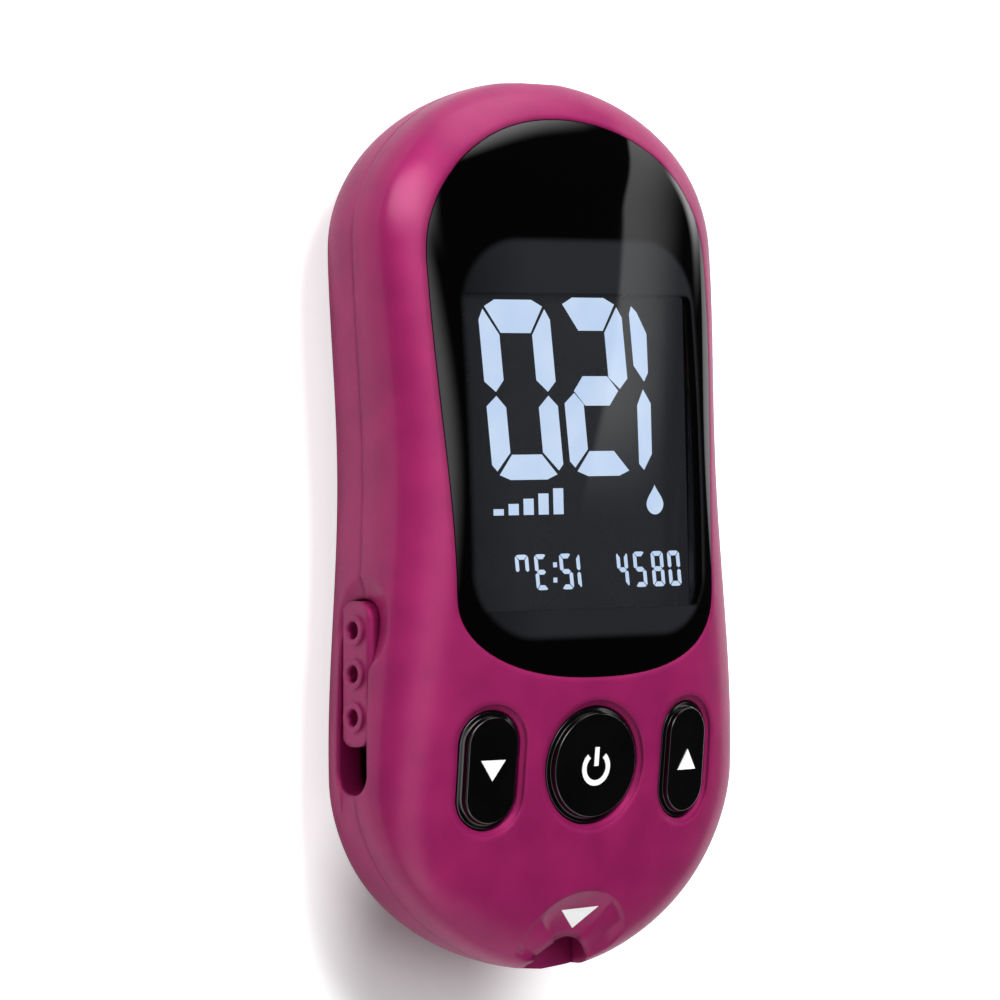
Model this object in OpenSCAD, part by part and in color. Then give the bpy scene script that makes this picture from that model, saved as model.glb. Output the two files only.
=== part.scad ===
// Pocket blood glucose meter: two moulded shells, window, three keys,
// side slider that pushes the test strip out, battery door in the back.
// Lies on its flat back. +Y runs to the display end, +Z out of the display.

/* [Housing] */
// Length over both ends
body_l = 100; // [98:1:106]
// Width across the display end
top_w = 48.8; // [48:0.2:52]
// Width at the waist
waist_w = 47.4; // [47:0.2:50]
// Width across the button end
bottom_w = 52; // [51:0.5:56]
// Length of the round display end
top_end_l = 18.6; // [17:0.2:20]
// Length of the round button end
bottom_end_l = 22.1; // [21:0.2:24]
// Place of the waist from the middle of the length
waist_y = 8.4; // [4:0.2:12]
// Height of the crown above the widest plane
crown_h = 11.3; // [11.2:0.1:13]
// Radius of the crown along the length
crown_r = 194; // [185:5:400]
// Place of the highest point of the crown
crown_y = 2.7; // [0:0.1:4]
// Depth of the belly below the widest plane
belly_h = 12.1; // [11.9:0.1:13]
// Depth taken off the belly for the flat rest face
foot_cut = 0.6; // [0.5:0.1:0.9]
// Length over which the crown rounds off at the display end
crown_top_round = 12.3; // [11:0.1:14]
// Length over which the crown rounds off at the button end
crown_bottom_round = 10.8; // [9.6:0.1:11.4]
// Length over which the belly rounds off at the display end
belly_top_round = 21.2; // [18:0.2:23]
// Length over which the belly rounds off at the button end
belly_bottom_round = 14; // [12:0.2:15]
// Wall of both shells
wall = 2; // [1.8:0.1:2.1]
// How far the seam lies below the widest plane
seam_drop = 1.2; // [1:0.1:1.6]

/* [Window] */
// Gap from the display end to the lens
lens_top_gap = 4.7; // [4.5:0.1:6]
// Gap from the centre key to the lens
lens_key_gap = 3.45; // [3.2:0.05:4.5]
// Width of the lens at its arch
lens_w = 40.1; // [39:0.1:40.6]
// Width of the lens at the waist
lens_waist_w = 36.8; // [36:0.1:38]
// Height of the arch at the top of the lens
lens_arch = 16; // [14:0.5:18]
// Height of the round foot of the lens
lens_foot = 9.5; // [9:0.5:12]
// Thickness of the lens
lens_t = 1.2; // [1:0.1:1.4]
// Width of the ledge that carries the lens
lens_ledge = 2.2; // [1.8:0.1:2.4]
// Gap round and under the lens
lens_gap = 0.1; // [0.08:0.01:0.15]

/* [Display] */
// Width of the display glass
glass_w = 34; // [32:0.5:34.5]
// Gap from the display glass to the arch of the lens
glass_arch_gap = 3.3; // [3:0.1:5]
// Thickness of the display glass
glass_t = 1.8; // [1.4:0.1:1.9]
// Thickness of the backlight guide
backlight_t = 1.2; // [1:0.1:1.3]
// Gap from the foot of the lens to the display glass
glass_gap_y = 3.9; // [3.5:0.1:4.5]
// Wall of the display frame
frame_wall = 1.2; // [1:0.1:1.3]
// Width of the elastomer connector
elastomer_w = 1.8; // [1.5:0.1:2]

/* [Keys] */
// Place of the row of keys from the button end
key_from_end = 23.2; // [23:0.1:24]
// Diameter of the centre key
set_d = 12.9; // [12.5:0.1:13.2]
// Width of a side key
side_w = 7.3; // [6.8:0.1:7.5]
// Length of a side key
side_l = 13; // [11:0.2:13.4]
// Distance from the centre key to a side key
side_pitch = 14.1; // [14:0.1:14.5]
// Travel of a key
key_travel = 0.4; // [0.3:0.05:0.45]
// Gap round a key
key_gap = 0.2; // [0.15:0.01:0.25]
// Thickness of a key's flange
key_flange_t = 0.6; // [0.5:0.05:0.7]
// How far a key's flange stands out
key_flange = 0.8; // [0.6:0.05:0.85]
// Width of the sunk ring round a key
key_ring = 0.8; // [0.6:0.1:1]
// Depth of the sunk ring round a key
key_ring_depth = 0.45; // [0.3:0.05:0.5]
// How far a key stands out of the outer form
key_rise = 0.3; // [0.1:0.05:0.4]

/* [Board] */
// Thickness of the main board
board_t = 1; // [0.8:0.1:1.1]
// Gap from the display end to the board
board_top_gap = 13.5; // [13.2:0.1:16]
// Gap from the button end to the board
board_bottom_gap = 9; // [8.5:0.1:10]
// Side of the main chip
chip_w = 7; // [6:0.5:7.5]
// Thickness of a chip
chip_t = 0.8; // [0.6:0.1:1]
// Width of a small chip
small_chip_w = 4; // [3:0.5:5]
// Length of a small chip
small_chip_l = 5; // [4:0.5:6]
// Length of a capacitor
cap_l = 2; // [1.6:0.2:2.4]
// Width of a capacitor
cap_w = 1.2; // [0.8:0.1:1.4]
// Side of the buzzer
buzzer_w = 5.6; // [5:0.1:6]
// Height of the buzzer
buzzer_h = 2; // [1.6:0.1:2.4]
// Side of a tact switch
switch_w = 4.5; // [4:0.1:5]
// Height of a tact switch with its stem
switch_h = 1.3; // [1.2:0.05:1.35]
// Diameter of a board screw
board_screw_d = 1.6; // [1.4:0.1:1.8]

/* [Strip port] */
// Width of the mouth
port_w = 8.6; // [8.4:0.1:9]
// Thickness of the mouth's back face
port_face_t = 0.8; // [0.6:0.1:1]
// Gap round the strip in the mouth's back face
slit_gap = 0.2; // [0.1:0.05:0.3]
// Height of the mouth over the shells' seam
port_h = 4.6; // [4.5:0.05:4.8]
// Radius of the mouth's arch
port_arch_r = 6.1; // [5.6:0.1:7]
// Place of the finger scoop's upper edge from the button end
scoop_from_end = 9.1; // [8.8:0.1:9.4]
// Radius of the finger scoop, seen from above at the height of the mouth
scoop_r = 10; // [9.4:0.2:10.6]
// Sideways place of the finger scoop
scoop_x = 0.8; // [0:0.1:1.2]
// Slope of the scoop's floor
scoop_tilt = 28; // [26:1:30]
// Lean of the scoop's wall
scoop_wall_lean = 31; // [20:1:35]
// Width of the strip channel in the connector
strip_w = 8.2; // [8:0.1:8.4]
// Height of the strip channel
strip_h = 1; // [0.9:0.05:1.1]
// Length of the strip connector
connector_l = 10.6; // [10:0.2:11]
// Wall of the strip connector
connector_wall = 1.5; // [1.2:0.1:1.6]
// Gap from the button end to the connector
connector_gap = 5.4; // [5.3:0.1:6]

/* [Ejector] */
// Place of the slot's lower end from the button end
slot_from_end = 20.8; // [20.5:0.1:21.5]
// Length of the thumb piece
thumb_l = 16.05; // [15:0.05:17]
// Corner radius of the thumb piece
thumb_r = 2.2; // [1.5:0.1:2.5]
// Height of the thumb piece
thumb_h = 5.2; // [4.8:0.1:5.4]
// How far the thumb piece's upper end stands out
thumb_rise = 0.2; // [0.1:0.05:0.3]
// How deep the thumb piece's lower end lies in its slot
thumb_sink = 0.6; // [0.3:0.1:0.8]
// Chamfer along the thumb piece
thumb_edge = 0.5; // [0.2:0.05:0.6]
// Width of the ejector's arm
arm_w = 4.2; // [3.8:0.1:4.4]
// Gap between the arm and the strip connector at full travel
arm_gap = 0.6; // [0.4:0.1:0.8]
// Spacing of the grip rings on the thumb piece
dot_pitch = 4.8; // [4.4:0.1:5]
// Diameter of a grip ring
dot_d = 3.4; // [3:0.1:3.8]
// Diameter of a grip ring's hole
dot_hole_d = 2; // [1.4:0.1:2.2]
// Depth of a grip ring's hole below the thumb piece's face
dot_hole_depth = 1.3; // [0.8:0.1:1.5]
// How far a grip ring stands out
dot_rise = 0.35; // [0.2:0.05:0.4]
// Travel of the ejector
eject_travel = 5.1; // [4.6:0.1:5.2]
// Gap round the thumb piece
thumb_gap = 0.2; // [0.15:0.01:0.25]
// Wire of the return spring
eject_wire = 0.35; // [0.3:0.05:0.4]
// Outer diameter of the return spring
eject_spring_d = 3.2; // [3:0.1:3.4]

/* [Battery] */
// Diameter of a cell
cell_d = 10.5; // [10.3:0.1:10.5]
// Length of a cell with its nub
cell_l = 44.5; // [43.5:0.5:44.5]
// Gap between cells and walls
cell_gap = 0.3; // [0.2:0.05:0.35]
// Space for a contact spring
spring_l = 3.9; // [3.5:0.1:4]
// Wall of the battery well
well_wall = 1.2; // [1:0.1:1.3]
// Thickness of the battery door
door_t = 1.5; // [1.3:0.1:1.6]
// Gap round the battery door
door_gap = 0.15; // [0.1:0.01:0.2]

/* [Fasteners] */
// Diameter of a housing screw
screw_d = 2.2; // [2:0.1:2.4]
// Length of a housing screw under its head
screw_l = 8.5; // [8:0.5:9]
// Outer diameter of a housing boss
boss_d = 5.2; // [5:0.1:5.4]
// Gap between the upper bosses and the battery well
boss_well_gap = 0.3; // [0.2:0.1:0.6]
// Distance of the lower bosses from the centre line
boss_bottom_x = 14.5; // [14.3:0.1:14.8]
// Gap from the display end to the upper bosses
boss_top_gap = 10; // [9.8:0.1:10.4]
// Gap from the button end to the lower bosses
boss_bottom_gap = 9.5; // [9.4:0.1:10]

/* [Hidden] */
$fn = 48;

magenta = "#a8246b";
black = "#0a0a0b";
steel = "#b9bcc0";

cut = 1;                                  // how far a cut runs past what it cuts
end_y = body_l/2;
top_y = end_y - top_end_l;                // widest place of the display end
bottom_y = bottom_end_l - end_y;          // widest place of the button end
key_y = key_from_end - end_y;             // row of keys
mid_z = belly_h - foot_cut;               // widest plane above the rest face
seam_z = mid_z - seam_drop;
crown_power = 2.5;                        // squareness of the sections
belly_power = 3.6;
top_power = 2;                            // squareness of the ends
bottom_power = 1.85;
side_power = 2.2;
arc_steps = 20;                           // steps round and along an outer face
station_steps = 28;
inner_arc_steps = 14;                     // and where only the inside shows
inner_station_steps = 20;

// levels, from the rest face up
door_z = 0.15;                            // outer face of the battery door
cell_z = door_z + door_t + cell_gap + cell_d/2;
well_top = cell_z + cell_d/2 + 0.2;
well_roof = 0.7;
board_z = well_top + well_roof + 0.2;
board_top = board_z + board_t;
glass_z = board_top + backlight_t + 0.1;
key_foot_z = board_top + switch_h + key_travel + 0.1;
pad_z = key_foot_z + key_flange_t + 0.2;
strip_z = mid_z + 0.7;                    // plane of the test strip
eject_z = mid_z - 1.65;                   // middle of the side slot

// --- the housing's outer form and its insets ---

function ease(t) = (1 - cos(180*t))/2;
function round_off(t, n) = pow(max(0, 1 - pow(max(0, t), n)), 1/n);

// half the width at y of the form set in by d
function half_width(y, d) =
    let (top = top_w/2 - d, waist = waist_w/2 - d, low = bottom_w/2 - d)
    y > top_y ? top*round_off((y - top_y)/(top_end_l - d), top_power)
  : y > waist_y ? waist + (top - waist)*ease((y - waist_y)/(top_y - waist_y))
  : y > bottom_y ? waist + (low - waist)*ease((waist_y - y)/(waist_y - bottom_y))
  : low*round_off((bottom_y - y)/(bottom_end_l - d), bottom_power);

function end_round(y, d, top, bottom) =
    round_off((y - end_y + top)/(top - d), top_power)
    *round_off((bottom - end_y - y)/(bottom - d), side_power);

function crown(y, d) =
    (crown_h - d - pow(y - crown_y, 2)/(2*crown_r))
    *end_round(y, d, crown_top_round, crown_bottom_round);

function belly(y, d) = (belly_h - d)*end_round(y, d, belly_top_round, belly_bottom_round);

// height of the outer face over the point x, y
function face_z(x, y, d = 0) =
    mid_z + crown(y, d)*round_off(abs(x)/half_width(y, d), crown_power);

function power_cos(t, n) = sign(cos(t))*pow(abs(cos(t)), 2/n);
function power_sin(t, n) = pow(abs(sin(t)), 2/n);

function arc(y, w, h, n, side, steps) =
    [for (i = [0:steps]) let (t = 180*i/steps)
        [side*w*power_cos(t, n), y, mid_z + side*h*power_sin(t, n)]];

// one section: the crown's arc on a straight skirt (side 1), or the belly's arc (side -1)
function section(y, d, side, steps) =
    let (w = half_width(y, d), skirt_z = seam_z - cut)
    side > 0 ? concat(arc(y, w, crown(y, d), crown_power, side, steps),
                      [[-w, y, skirt_z], [w, y, skirt_z]])
             : arc(y, w, belly(y, d), belly_power, side, steps);

// closed skin through sections that share a point count, with a point at each end
module loft(sections, first, last) {
    n = len(sections[0]);
    m = len(sections);
    polyhedron(
        points = concat([for (s = sections) each s], [first, last]),
        faces = concat(
            [for (j = [0:m - 2], i = [0:n - 1]) let (a = j*n + i, b = j*n + (i + 1)%n)
                each [[a, b, b + n], [a, b + n, a + n]]],
            [for (i = [0:n - 1]) [m*n, (i + 1)%n, i]],
            [for (i = [0:n - 1]) let (a = (m - 1)*n) [m*n + 1, a + i, a + (i + 1)%n]]));
}

// the crown or the belly set in by d, over its whole length or between two places on it
module form(d, side = 1, fine = true, from = -body_l, to = body_l) {
    a = end_y - d;
    low = max(from, -a);
    high = min(to, a);
    n = fine ? station_steps : inner_station_steps;
    ys = [for (i = [1:n - 1]) let (y = a*sin(180*i/n - 90)) if (y > low + 0.02 && y < high - 0.02) y];
    all_ys = concat(from > -a ? [low] : [], ys, to < a ? [high] : []);
    loft([for (y = all_ys) section(y, d, side, fine ? arc_steps : inner_arc_steps)],
         [0, low, seam_z], [0, high, seam_z]);
}

module between(low, high) {
    translate([-bottom_w, -body_l, low]) cube([2*bottom_w, 2*body_l, high - low]);
}

module block(low, high) {
    translate(low) cube(high - low);
}

module obround(w, l) {
    square([w, l - w], center = true);
    for (side = [-1, 1]) translate([0, side*(l - w)/2]) circle(d = w);
}

module rounded(w, l, r) {
    square([w - 2*r, l], center = true);
    square([w, l - 2*r], center = true);
    for (x = [-1, 1], y = [-1, 1]) translate([x*(w/2 - r), y*(l/2 - r)]) circle(r);
}

// --- window outline, set in by d ---

lens_top = end_y - lens_top_gap;
lens_bottom = key_y + set_d/2 + lens_key_gap;
lens_arch_y = lens_top - lens_arch;
lens_foot_y = lens_bottom + lens_foot;
lens_foot_power = 2.35;
lens_arch_power = 2.05;
outline_steps = 18;

function lens_side(d) =
    let (top = lens_w/2 - d, low = lens_waist_w/2 - d, n = outline_steps)
    concat(
        [for (i = [0:n]) let (t = 90*i/n)
            [low*power_sin(t, lens_foot_power),
             lens_foot_y - (lens_foot - d)*power_cos(t, lens_foot_power)]],
        [for (i = [1:n]) let (u = i/n)
            [low + (top - low)*ease(u), lens_foot_y + (lens_arch_y - lens_foot_y)*u]],
        [for (i = [1:n]) let (t = 90*i/n)
            [top*power_cos(t, lens_arch_power),
             lens_arch_y + (lens_arch - d)*power_sin(t, lens_arch_power)]]);

module lens_outline(d) {
    side = lens_side(d);
    polygon(concat(side, [for (i = [len(side) - 2:-1:1]) [-side[i][0], side[i][1]]]));
}

module lens_prism(d) {
    translate([0, 0, mid_z]) linear_extrude(2*crown_h) lens_outline(d);
}

// --- keys ---

key_from_y = key_y - side_l/2 - 3;
key_to_y = key_y + side_l/2 + 3;

module set_outline(d) {
    translate([0, key_y]) circle(d = set_d + 2*d, $fn = 96);
}

module side_outline(side, d) {
    translate([side*side_pitch, key_y]) obround(side_w + 2*d, side_l + 2*d);
}

module key_outlines(d) {
    set_outline(d);
    for (side = [-1, 1]) side_outline(side, d);
}

stem_d = 3;

// a key cap: domed top, flange that holds it in, stem over its switch
module key(x) {
    intersection() {
        form(-key_rise, from = key_from_y, to = key_to_y);
        translate([0, 0, pad_z - 0.2]) linear_extrude(2*crown_h) children(0);
    }
    translate([0, 0, key_foot_z]) linear_extrude(key_flange_t) children(1);
    translate([x, key_y, key_foot_z - 0.05]) cylinder(d = stem_d, h = key_flange_t);
}

module set_button() {
    color(black) key(0) {
        set_outline(0);
        set_outline(key_flange);
    }
}

module down_button() {
    color(black) key(-side_pitch) {
        side_outline(-1, 0);
        side_outline(-1, key_flange);
    }
}

module up_button() {
    color(black) key(side_pitch) {
        side_outline(1, 0);
        side_outline(1, key_flange);
    }
}

// --- strip port ---

port_top_z = seam_z + port_h;
scoop_top_y = scoop_from_end - end_y;
scoop_top_z = face_z(0, scoop_top_y);
scoop_level_z = port_top_z + 1.1;         // height at which the scoop has its radius
// centre of the scoop seen from above
scoop_y = scoop_top_y - scoop_r - (scoop_top_z - scoop_level_z)*tan(scoop_wall_lean);
connector_y = connector_gap - end_y;      // front face of the connector
connector_high = connector_y + connector_l;
connector_w = strip_w + 2*connector_wall;
connector_foot_z = mid_z - 1.8;

port_back_y = connector_y - 0.2;          // back of the mouth's face
port_block_x = connector_w/2 + 0.9;
port_block_y = -end_y + 1.4;

// arched mouth, drawn across the end, with a slit for the strip in its back face
module port_mouth() {
    translate([0, port_back_y - port_face_t, 0]) rotate([90, 0, 0]) linear_extrude(end_y)
        intersection() {
            translate([0, port_top_z - port_arch_r]) circle(port_arch_r, $fn = 96);
            translate([-port_w/2, seam_z - cut]) square([port_w, port_h + cut]);
        }
    block([-strip_w/2 - slit_gap, port_back_y - port_face_t - cut, strip_z - strip_h/2 - slit_gap],
          [strip_w/2 + slit_gap, port_back_y + cut, strip_z + strip_h/2 + slit_gap]);
}

// everything above a floor that falls towards the end, inside a scoop with a leaning wall
module port_scoop() {
    h = 2*crown_h;
    intersection() {
        translate([scoop_x, scoop_y, seam_z])
            cylinder(r1 = scoop_r - (scoop_level_z - seam_z)*tan(scoop_wall_lean),
                     r2 = scoop_r + (seam_z + h - scoop_level_z)*tan(scoop_wall_lean),
                     h = h, $fn = 96);
        translate([0, scoop_top_y, scoop_top_z]) rotate([scoop_tilt, 0, 0])
            translate([-bottom_w/2, -body_l/2, -0.15]) cube([bottom_w, body_l, body_l/2]);
    }
}

module port_block() {
    block([-port_block_x, port_block_y, seam_z], [port_block_x, port_back_y, port_top_z + 0.2]);
}

// solid floor under the mouth, in the rear shell
module port_floor() {
    block([-port_block_x, port_block_y, 0], [port_block_x, port_back_y, seam_z]);
}

// --- ejector slot in the side ---

slot_low_y = slot_from_end - end_y;
slot_l = thumb_l + eject_travel + 2*thumb_gap;
slot_high_y = slot_low_y + slot_l;
slot_y = (slot_low_y + slot_high_y)/2;
slot_h = thumb_h + 2*thumb_gap;
thumb_high_y = slot_high_y - thumb_gap;
thumb_low_y = thumb_high_y - thumb_l;
rail_h = slot_h + 4;
rail_from_y = slot_low_y - 2;
rail_to_y = slot_high_y + 2;
// flat inner face that the carriage runs on, just inside the narrower end of the land
rail_x = wall + 0.1 - min(half_width(rail_from_y, 0), half_width(rail_to_y, 0));
carriage_h = slot_h + 2;
carriage_t = 1.2;
carriage_x = rail_x + thumb_gap;
carriage_low_y = thumb_low_y;
carriage_high_y = thumb_high_y + 1.2;

module side_slot() {
    translate([-bottom_w, slot_y, eject_z]) rotate([90, 0, 90])
        linear_extrude(bottom_w - abs(rail_x) + 2*cut) rounded(slot_l, slot_h, thumb_r + thumb_gap);
}

finger_d = 10.6;                          // shallow dish for the thumb, seen from the side
finger_depth = 1.3;
finger_r = (finger_d*finger_d/4 + finger_depth*finger_depth)/(2*finger_depth);
finger_y = slot_high_y - 1.8;
finger_z = mid_z - 0.4;

module finger_dish() {
    translate([-half_width(finger_y, 0) - finger_r + finger_depth, finger_y, finger_z])
        sphere(finger_r, $fn = 96);
}

// room for the carriage over its whole travel
module carriage_room() {
    block([rail_x, rail_from_y, eject_z - carriage_h/2 - thumb_gap],
          [rail_x + carriage_t + 2*thumb_gap, rail_to_y, eject_z + carriage_h/2 + thumb_gap]);
}

// flat land inside the wall round the slot, for the carriage to run on
module slot_land(side) {
    intersection() {
        form(wall/2, side, false, rail_from_y - 1, rail_to_y + 1);
        block([-bottom_w/2, rail_from_y, eject_z - rail_h/2],
              [rail_x, rail_to_y, eject_z + rail_h/2]);
    }
}

// --- battery well ---

well_w = 2*cell_d + 4*cell_gap;
cell_x = (cell_d + cell_gap)/2;
plate_t = 0.4;
well_l = cell_l + spring_l + 2*plate_t + 2*cell_gap;
arm_foot_gap = 0.4;                       // between the arm and the well
foot_low_y = connector_high + arm_gap + eject_travel;  // lower edge of the ejector's arm
arm_y = foot_low_y + arm_w/2;
well_low = foot_low_y + arm_w + arm_foot_gap + well_wall;
well_high = well_low + well_l;
well_y = (well_low + well_high)/2;
door_w = well_w + 2*well_wall;
door_l = well_l + 2*well_wall;
door_r = 2;
door_top = door_z + door_t;
seat_z = door_top + 0.1;                  // where the door's rim seats
frame_z = seat_z + 1.6;                   // top of the frame round the door
frame_out = 2;
tab_w = 8;
tab_l = 2.2;
hook_w = 3.4;
hook_x = 6;
hook_l = 1.2;
hook_t = 0.8;
hinge_y = well_y + door_l/2;

// --- bosses and screws ---

boss_top_x = door_w/2 + boss_well_gap + boss_d/2;
boss_places = [
    for (side = [-1, 1]) [side*boss_top_x, end_y - boss_top_gap],
    for (side = [-1, 1]) [side*boss_bottom_x, boss_bottom_gap - end_y]];
head_d = 1.8*screw_d;
head_h = 0.7*screw_d;
head_z = 4.2;                             // underside of the screws' heads
bore_gap = 0.2;

module front_boss(place) {
    translate([place[0], place[1], seam_z])
        cylinder(d = boss_d, h = face_z(place[0], place[1], wall) + 0.3 - seam_z);
}

module rear_boss(place) {
    translate([place[0], place[1], mid_z - belly(place[1], wall) - 0.3])
        cylinder(d = boss_d + 0.8, h = seam_z - mid_z + belly(place[1], wall) + 0.3);
}

board_boss_x = 17.2;
board_boss_y = key_y + side_l/2 + 3.6;
board_boss_d = 3.6;
board_places = [for (side = [-1, 1]) [side*board_boss_x, board_boss_y]];

module door_outline(d) {
    translate([0, well_y]) rounded(door_w + 2*d, door_l + 2*d, door_r + d);
    translate([0, well_y - door_l/2 - tab_l/2]) square([tab_w + 2*d, tab_l + 2*d + 1], center = true);
}

module well_walls() {
    translate([0, 0, seat_z]) linear_extrude(well_top + well_roof - seat_z)
        translate([0, well_y]) square([door_w, door_l], center = true);
}

module well_shell() {
    linear_extrude(frame_z) translate([0, well_y - tab_l/2])
        rounded(door_w + 2*frame_out, door_l + tab_l + 2*frame_out, door_r);
    well_walls();
}

module well_space() {
    block([-well_w/2, well_low, -cut], [well_w/2, well_high, well_top]);
    translate([0, 0, -cut]) linear_extrude(seat_z + cut) door_outline(door_gap);
    // pockets for the door's two hooks
    for (side = [-1, 1])
        block([side*hook_x - hook_w/2 - 0.3, well_high - cut, -cut + seat_z],
              [side*hook_x + hook_w/2 + 0.3, hinge_y + hook_l + 0.4, frame_z + cut]);
    // room for the latch tongue
    block([-tab_w/2 - 0.3, well_low - well_wall - tab_l - 0.5, seat_z - cut],
          [tab_w/2 + 0.3, well_low - well_wall, frame_z + cut]);
}

// --- ejector's carriage, arm and return spring ---

foot_low = eject_z + 0.6;                 // foot of the carriage, which carries the arm
foot_top = strip_z - 0.35;
arm_t = 0.6;
foot_in_x = rail_x + 6.2;
pin_x = foot_in_x - 1.6;
blade_w = 5;
spring_x = rail_x + 4;
spring_z = (foot_low + foot_top)/2;
post_y = foot_low_y - eject_travel - 3.2; // face that the return spring pushes on

// --- the two shells ---

module front_shell() {
    color(magenta) difference() {
        union() {
            difference() {
                form(0);
                form(wall, fine = false);
            }
            slot_land(1);
            port_block();
            for (place = boss_places) front_boss(place);
            for (place = board_places) translate([place[0], place[1], board_top + 0.05])
                cylinder(d = board_boss_d, h = face_z(place[0], place[1], wall) + 0.3 - board_top);
            intersection() {
                form(wall/2, 1, false, key_from_y, key_to_y);
                translate([0, 0, pad_z]) linear_extrude(crown_h) key_outlines(key_flange + 0.6);
            }
        }
        between(-cut, seam_z);
        // seat and opening of the lens
        difference() {
            lens_prism(-lens_gap);
            form(lens_t + lens_gap, from = lens_bottom - 2, to = lens_top + 2);
        }
        lens_prism(lens_ledge);
        // sunk rings and holes of the keys
        difference() {
            translate([0, 0, mid_z]) linear_extrude(2*crown_h) key_outlines(key_ring);
            form(key_ring_depth, from = key_from_y, to = key_to_y);
        }
        translate([0, 0, mid_z]) linear_extrude(2*crown_h) key_outlines(key_gap);
        // room for the keys' flanges
        translate([0, 0, seam_z]) linear_extrude(pad_z - seam_z)
            key_outlines(key_flange + key_gap);
        carriage_room();
        port_scoop();
        port_mouth();
        finger_dish();
        side_slot();
        for (place = boss_places) translate([place[0], place[1], seam_z - cut])
            cylinder(d = screw_d - 0.4, h = cut + head_z + screw_l - seam_z + 0.4);
        for (place = board_places) translate([place[0], place[1], board_top - cut])
            cylinder(d = board_screw_d - 0.3, h = cut + 2.2);
    }
}

module rear_shell() {
    color(magenta) difference() {
        union() {
            difference() {
                form(0, -1);
                form(wall, -1, false);
            }
            slot_land(-1);
            intersection() {
                form(wall/2, -1, false);
                union() {
                    for (place = boss_places) rear_boss(place);
                    spring_post();
                    port_floor();
                }
            }
            well_shell();
        }
        between(-2*foot_cut, 0);
        difference() {
            between(seam_z, 2*mid_z);
            well_walls();
            spring_post();
        }
        well_space();
        carriage_room();
        finger_dish();
        side_slot();
        nail_notch();
        for (place = boss_places) translate([place[0], place[1], -cut]) {
            cylinder(d = screw_d + 2*bore_gap, h = 2*mid_z);
            cylinder(d = head_d + 2*bore_gap, h = head_z + cut);
        }
    }
}

module spring_post() {
    block([spring_x - 2, post_y - 1.2, mid_z - belly(post_y, wall) - 0.5],
          [spring_x + 2, post_y, mid_z + 1.2]);
}

// half-round notch for a fingernail beside the door's tab
module nail_notch() {
    translate([0, well_y - door_l/2 - tab_l - 1, -2.2]) rotate([0, 90, 0])
        cylinder(r = 3.2, h = tab_w - 1, center = true);
}

// --- display ---

glass_low = lens_bottom + glass_gap_y;
glass_l = lens_arch_y - glass_arch_gap - glass_low;
glass_y = glass_low + glass_l/2;

module display_lens() {
    color(black) difference() {
        intersection() {
            form(0, from = lens_bottom - 2, to = lens_top + 2);
            lens_prism(0);
        }
        form(lens_t, from = lens_bottom - 2.5, to = lens_top + 2.5);
    }
}

module lcd_panel() {
    color("#26282b") translate([0, glass_y, glass_z]) {
        // lower glass with its contact ledge, and the shorter upper glass
        translate([-glass_w/2, -glass_l/2, 0]) cube([glass_w, glass_l, glass_t/2]);
        translate([-glass_w/2, -glass_l/2 + elastomer_w, glass_t/2])
            cube([glass_w, glass_l - elastomer_w, glass_t/2]);
    }
}

module backlight() {
    color("white") block([-glass_w/2 + 0.5, glass_low + elastomer_w + 0.6, board_top],
                         [glass_w/2 - 0.5, glass_low + glass_l - 0.5, board_top + backlight_t]);
}

module elastomer_strip() {
    color("#3a3a3c") block([-glass_w/2 + 1, glass_low + 0.2, board_top],
                           [glass_w/2 - 1, glass_low + elastomer_w + 0.2, glass_z]);
}

module lcd_frame() {
    frame_gap = 0.15;
    color("#141416") difference() {
        translate([0, glass_y, board_top]) linear_extrude(glass_z + glass_t/2 - board_top)
            rounded(glass_w + 2*frame_gap + 2*frame_wall, glass_l + 2*frame_gap + 2*frame_wall, 1.5);
        block([-glass_w/2 - frame_gap, glass_low - frame_gap, board_top - cut],
              [glass_w/2 + frame_gap, glass_low + glass_l + frame_gap, glass_z + glass_t]);
    }
}

// --- board ---

board_low = board_bottom_gap - end_y;
board_high = end_y - board_top_gap;
board_half = abs(carriage_x) - carriage_t - 0.8;
board_side_gap = wall + 1.8;

function board_half_at(y) =
    min(board_half, half_width(y, board_side_gap)*round_off((board_top - mid_z + 0.4)/crown(y, wall), crown_power));

module main_board() {
    ys = [for (i = [0:20]) board_low + (board_high - board_low)*i/20];
    color("#1d6b3c") difference() {
        translate([0, 0, board_z]) linear_extrude(board_t)
            polygon(concat([for (y = ys) [board_half_at(y), y]],
                           [for (i = [20:-1:0]) [-board_half_at(ys[i]), ys[i]]]));
        for (place = boss_places) translate([place[0], place[1], board_z - cut])
            cylinder(d = boss_d + 1, h = board_t + 2*cut);
        for (place = board_places) translate([place[0], place[1], board_z - cut])
            cylinder(d = board_screw_d + 0.3, h = board_t + 2*cut);
    }
}

side_chip_x = (well_w/2 + well_wall + board_half)/2;
part_pitch = 2*cap_l;                     // capacitors along the edge

// a part under the board, its middle at x, y
module part(x, y, w, l, t) {
    block([x - w/2, y - l/2, board_z - t], [x + w/2, y + l/2, board_z]);
}

// chips and small parts under the board, clear of the well and the ejector
module board_parts() {
    color("#1a1a1c") {
        part(side_chip_x, key_y, chip_w, chip_w, chip_t);
        for (y = [well_y - 1.6*small_chip_l, well_y, well_y + 4*small_chip_l])
            part(side_chip_x, y, small_chip_w, small_chip_l, chip_t);
        for (i = [-3:5]) part(-side_chip_x, well_y + i*part_pitch, cap_l, cap_w, chip_t);
    }
}

buzzer_y = well_y + 2*small_chip_l;

module buzzer() {
    color("#222224") difference() {
        part(side_chip_x, buzzer_y, buzzer_w, buzzer_w, buzzer_h);
        translate([side_chip_x, buzzer_y, board_z - buzzer_h - cut])
            cylinder(d = buzzer_w/5, h = cut + buzzer_h/2);
    }
}

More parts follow.
